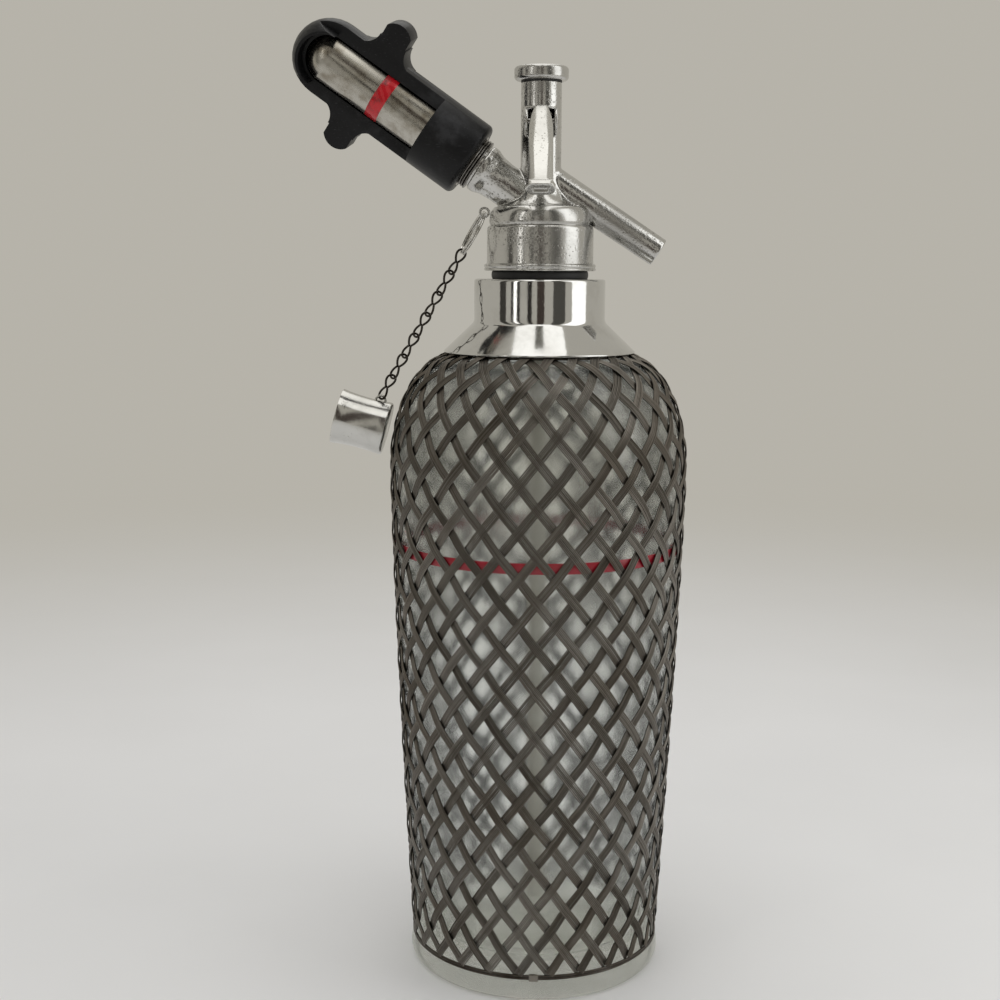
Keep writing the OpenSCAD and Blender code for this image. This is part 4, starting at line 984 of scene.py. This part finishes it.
def make_inlet_cap():
    """A pressed cap, drawn in a little at its waist, with a rolled lip at the open end."""
    half, wall = CAP_L / 2, 0.8
    outer = [(0, half)] + arc(CAP_R - 1.0, half - 1.0, 1.0, 1.0, 88, 0, 8)
    outer += [(CAP_R - 0.25, half - 4), (CAP_R - 0.4, half - 9), (CAP_R - 0.25, -half + 6)]
    outer += [(CAP_R + 0.05, -half + 2.5), (CAP_R + 0.4, -half + 0.5), (CAP_R + 0.38, -half + 0.1)]
    outer += [(CAP_R + 0.2, -half)]
    inner = [(CAP_R - 0.35, -half + 0.1), (CAP_R - wall, -half + 2.5), (CAP_R - wall - 0.3, 0),
             (CAP_R - wall - 0.3, half - 3), (CAP_R - 2.5, half - wall), (0, half - wall)]
    cap = turned("cap_shell", outer + inner, 128)
    finish(put(cap, INLET_CAP), "cap", "cap_tin", cap_tin, "inlet_cap", smooth=35)


def make_cap_loop():
    """The wire staple on the cap's side that the chain's last link hangs in."""
    path = [(-LOOP_R * 1.25 + 0.2, 0, -0.5), (-LOOP_R * 1.1, 0, 0.3)]
    path += [(x, 0, z) for x, z in arc(0, 0.3, LOOP_R * 0.95, LOOP_R - 0.3, 160, 20, 14)]
    path += [(LOOP_R * 1.1, 0, 0.3), (LOOP_R * 1.25 - 0.2, 0, -0.5)]
    loop = wires("cap_staple", [path], LOOP_WIRE_R, sides=10)
    base = tuple(CAP_MID[i] + cap_up[i] * CAP_R + cap_along[i] * CAP_LOOP_S for i in (0, 1))
    put(loop, place(base[0], 0, base[1], [(CAP_TILT, "Y")]))
    finish(loop, "cap", "cap_tin", cap_tin, "cap_loop", smooth=50)


def make_tube():
    """The dip tube, from the head's bush to just above the glass floor."""
    top, foot, bore_r, tube_r = CEILING_Z + 4.7, GLASS_FLOOR + 10, 2.3, 3.5
    outline = [(bore_r, foot), (tube_r, foot), (tube_r, top), (bore_r, top)]
    tube = turned("dip_pipe", outline + outline[:1], 64)
    finish(tube, "tube", "tube", milky_tube, "dip_tube", smooth=30)


# ---------------------------------------------------------------- finishes of the solids that stay

KEPT_SOLIDS = {
    band_wire: ("mesh_top_ring",),
    turned_brass: ("neck_ring", "valve_spindle"),
    spring_steel: ("valve_spring", "lever_pin", "piercing_pin"),
    black_rubber: ("rim_seal", "tube_bush", "spindle_gland", "tower_cap_washer", "valve_washer",
                   "inlet_washer", "check_valve", "inlet_cap_liner")}


def dress_solids():
    for material, nodes in KEPT_SOLIDS.items():
        for node in nodes:
            solid = frame["nodes"][node]
            solid.data.materials.clear()
            solid.data.materials.append(material)


# ---------------------------------------------------------------- floor, light and camera

# the backdrop's own colour
PALE = (0.47, 0.45, 0.4)


def make_floor():
    """A pale floor that runs out into the backdrop's own colour."""
    deselect()
    bpy.ops.mesh.primitive_circle_add(vertices=96, radius=4, fill_type="NGON")
    floor = bpy.context.active_object
    floor.name = "floor"
    material, w, shader = new_finish("pale_floor", Roughness=0.6)
    where = object_place(w)
    mottle = w.noise(where, 8.0, 3.0, 0.5)
    w.join(w.blend(mottle, (0.72, 0.705, 0.67), (0.78, 0.765, 0.73)), shader.inputs["Base Color"])
    away = w.add("VectorMath", operation="LENGTH")
    w.join(where, away.inputs[0])
    glow = w.add("Emission")
    glow.inputs["Color"].default_value = (*PALE, 1)
    mix = w.add("MixShader")
    w.join(w.spread(away.outputs["Value"], 0.2, 1.2), mix.inputs[0])
    w.join(shader.outputs[0], mix.inputs[1])
    w.join(glow.outputs[0], mix.inputs[2])
    w.join(mix.outputs[0], material.node_tree.nodes["Material Output"].inputs["Surface"])
    floor.data.materials.append(material)


def make_world():
    """A soft even room for light, with the pale backdrop for camera, mirror and glass rays."""
    world = bpy.data.worlds.new("studio")
    bpy.context.scene.world = world
    world.use_nodes = True
    w = Wiring(world.node_tree)
    nodes = world.node_tree.nodes
    room = nodes["Background"]
    room.inputs["Color"].default_value = (0.86, 0.87, 0.9, 1)
    room.inputs["Strength"].default_value = 0.8
    seen = w.add("Background")
    seen.inputs["Color"].default_value = (*PALE, 1)
    path = w.add("LightPath")
    direct = w.sum("MAXIMUM", path.outputs["Is Camera Ray"], path.outputs["Is Transmission Ray"])
    mix = w.add("MixShader")
    w.join(w.sum("MAXIMUM", direct, path.outputs["Is Glossy Ray"]), mix.inputs[0])
    w.join(room.outputs[0], mix.inputs[1])
    w.join(seen.outputs[0], mix.inputs[2])
    w.join(mix.outputs[0], nodes["World Output"].inputs["Surface"])


def dark_card(name, azimuth, width, colour):
    """An upright card round the front that only mirrors show, as the dark parts of the room."""
    distance = 0.9
    deselect()
    bpy.ops.mesh.primitive_plane_add(size=1)
    card = bpy.context.active_object
    card.name = card.data.name = name
    card.scale = (width, 1.5, 1)
    a = math.radians(azimuth)
    card.rotation_euler = (math.radians(90), 0, a)
    card.location = (distance * math.sin(a), -distance * math.cos(a), 0.7)
    bpy.ops.object.transform_apply(location=True, rotation=True, scale=True)
    material, w, shader = new_finish(name + "_cloth", Roughness=0.9)
    weave = w.noise(object_place(w), 30.0, 3.0)
    w.join(w.blend(weave, tuple(0.7 * c for c in colour), colour), shader.inputs["Base Color"])
    card.data.materials.append(material)
    card.visible_camera = card.visible_transmission = card.visible_shadow = card.visible_diffuse = False


def soft_light(name, spot, aim, size, power, colour=(1, 1, 1)):
    """A rectangular lamp at a place in metres, turned to a point that it aims at."""
    light = bpy.data.lights.new(name, "AREA")
    light.shape = "RECTANGLE"
    light.size, light.size_y = size
    light.energy = power
    light.color = colour
    lamp = bpy.data.objects.new(name, light)
    bpy.context.scene.collection.objects.link(lamp)
    lamp.location = spot
    lamp.rotation_euler = (Vector(aim) - Vector(spot)).to_track_quat("-Z", "Y").to_euler()


def make_camera():
    """The photograph's viewpoint: 555 mm from the bottle's axis, 263 mm up, looking down 8.9 degrees."""
    data = bpy.data.cameras.new("viewpoint")
    data.lens, data.sensor_width = 54.0, 36.0
    camera = bpy.data.objects.new("viewpoint", data)
    bpy.context.scene.collection.objects.link(camera)
    turn = (Matrix.Rotation(math.radians(1.46), 4, "Z") @ Matrix.Rotation(math.radians(90 - 8.9), 4, "X")
            @ Matrix.Rotation(math.radians(0.3), 4, "Z"))
    camera.matrix_world = Matrix.Translation((0, -0.555, 0.2632)) @ turn
    bpy.context.scene.camera = camera


make_camera()
make_bottle()
make_fill_line()
make_ribbons("sleeve_right_ribbons", 1, "mesh_strips_right", 11)
make_ribbons("sleeve_left_ribbons", -1, "mesh_strips_left", 23)
make_sleeve_hoops()
make_collar()
make_tube()
make_head_skirt()
make_casting()
make_tower_cap()
make_lever()
make_inlet()
make_bulb()
make_holder()
make_insert()
make_eyelet()
make_split_ring()
make_chain()
make_inlet_cap()
make_cap_loop()
dress_solids()

make_floor()
make_world()
dark_card("card_left", -66, 0.2, (0.06, 0.055, 0.045))
dark_card("card_left_front", -42, 0.26, (0.035, 0.03, 0.025))
dark_card("card_front", -17, 0.12, (0.02, 0.015, 0.012))
dark_card("card_camera", 2, 0.2, (0.07, 0.05, 0.04))
dark_card("card_right_front", 34, 0.34, (0.11, 0.105, 0.09))
soft_light("window_right", (0.62, -0.2, 0.5), (0, 0, 0.2), (0.4, 0.9), 1.3, (0.96, 0.98, 1.0))
soft_light("lamp_left", (-0.5, -0.55, 0.5), (0, 0, 0.2), (0.08, 0.6), 0.3, (1.0, 0.98, 0.93))
soft_light("ceiling", (0.0, 0.1, 0.95), (0, 0, 0.1), (0.5, 1.4), 2.0)

bpy.context.scene.view_settings.view_transform = "Standard"
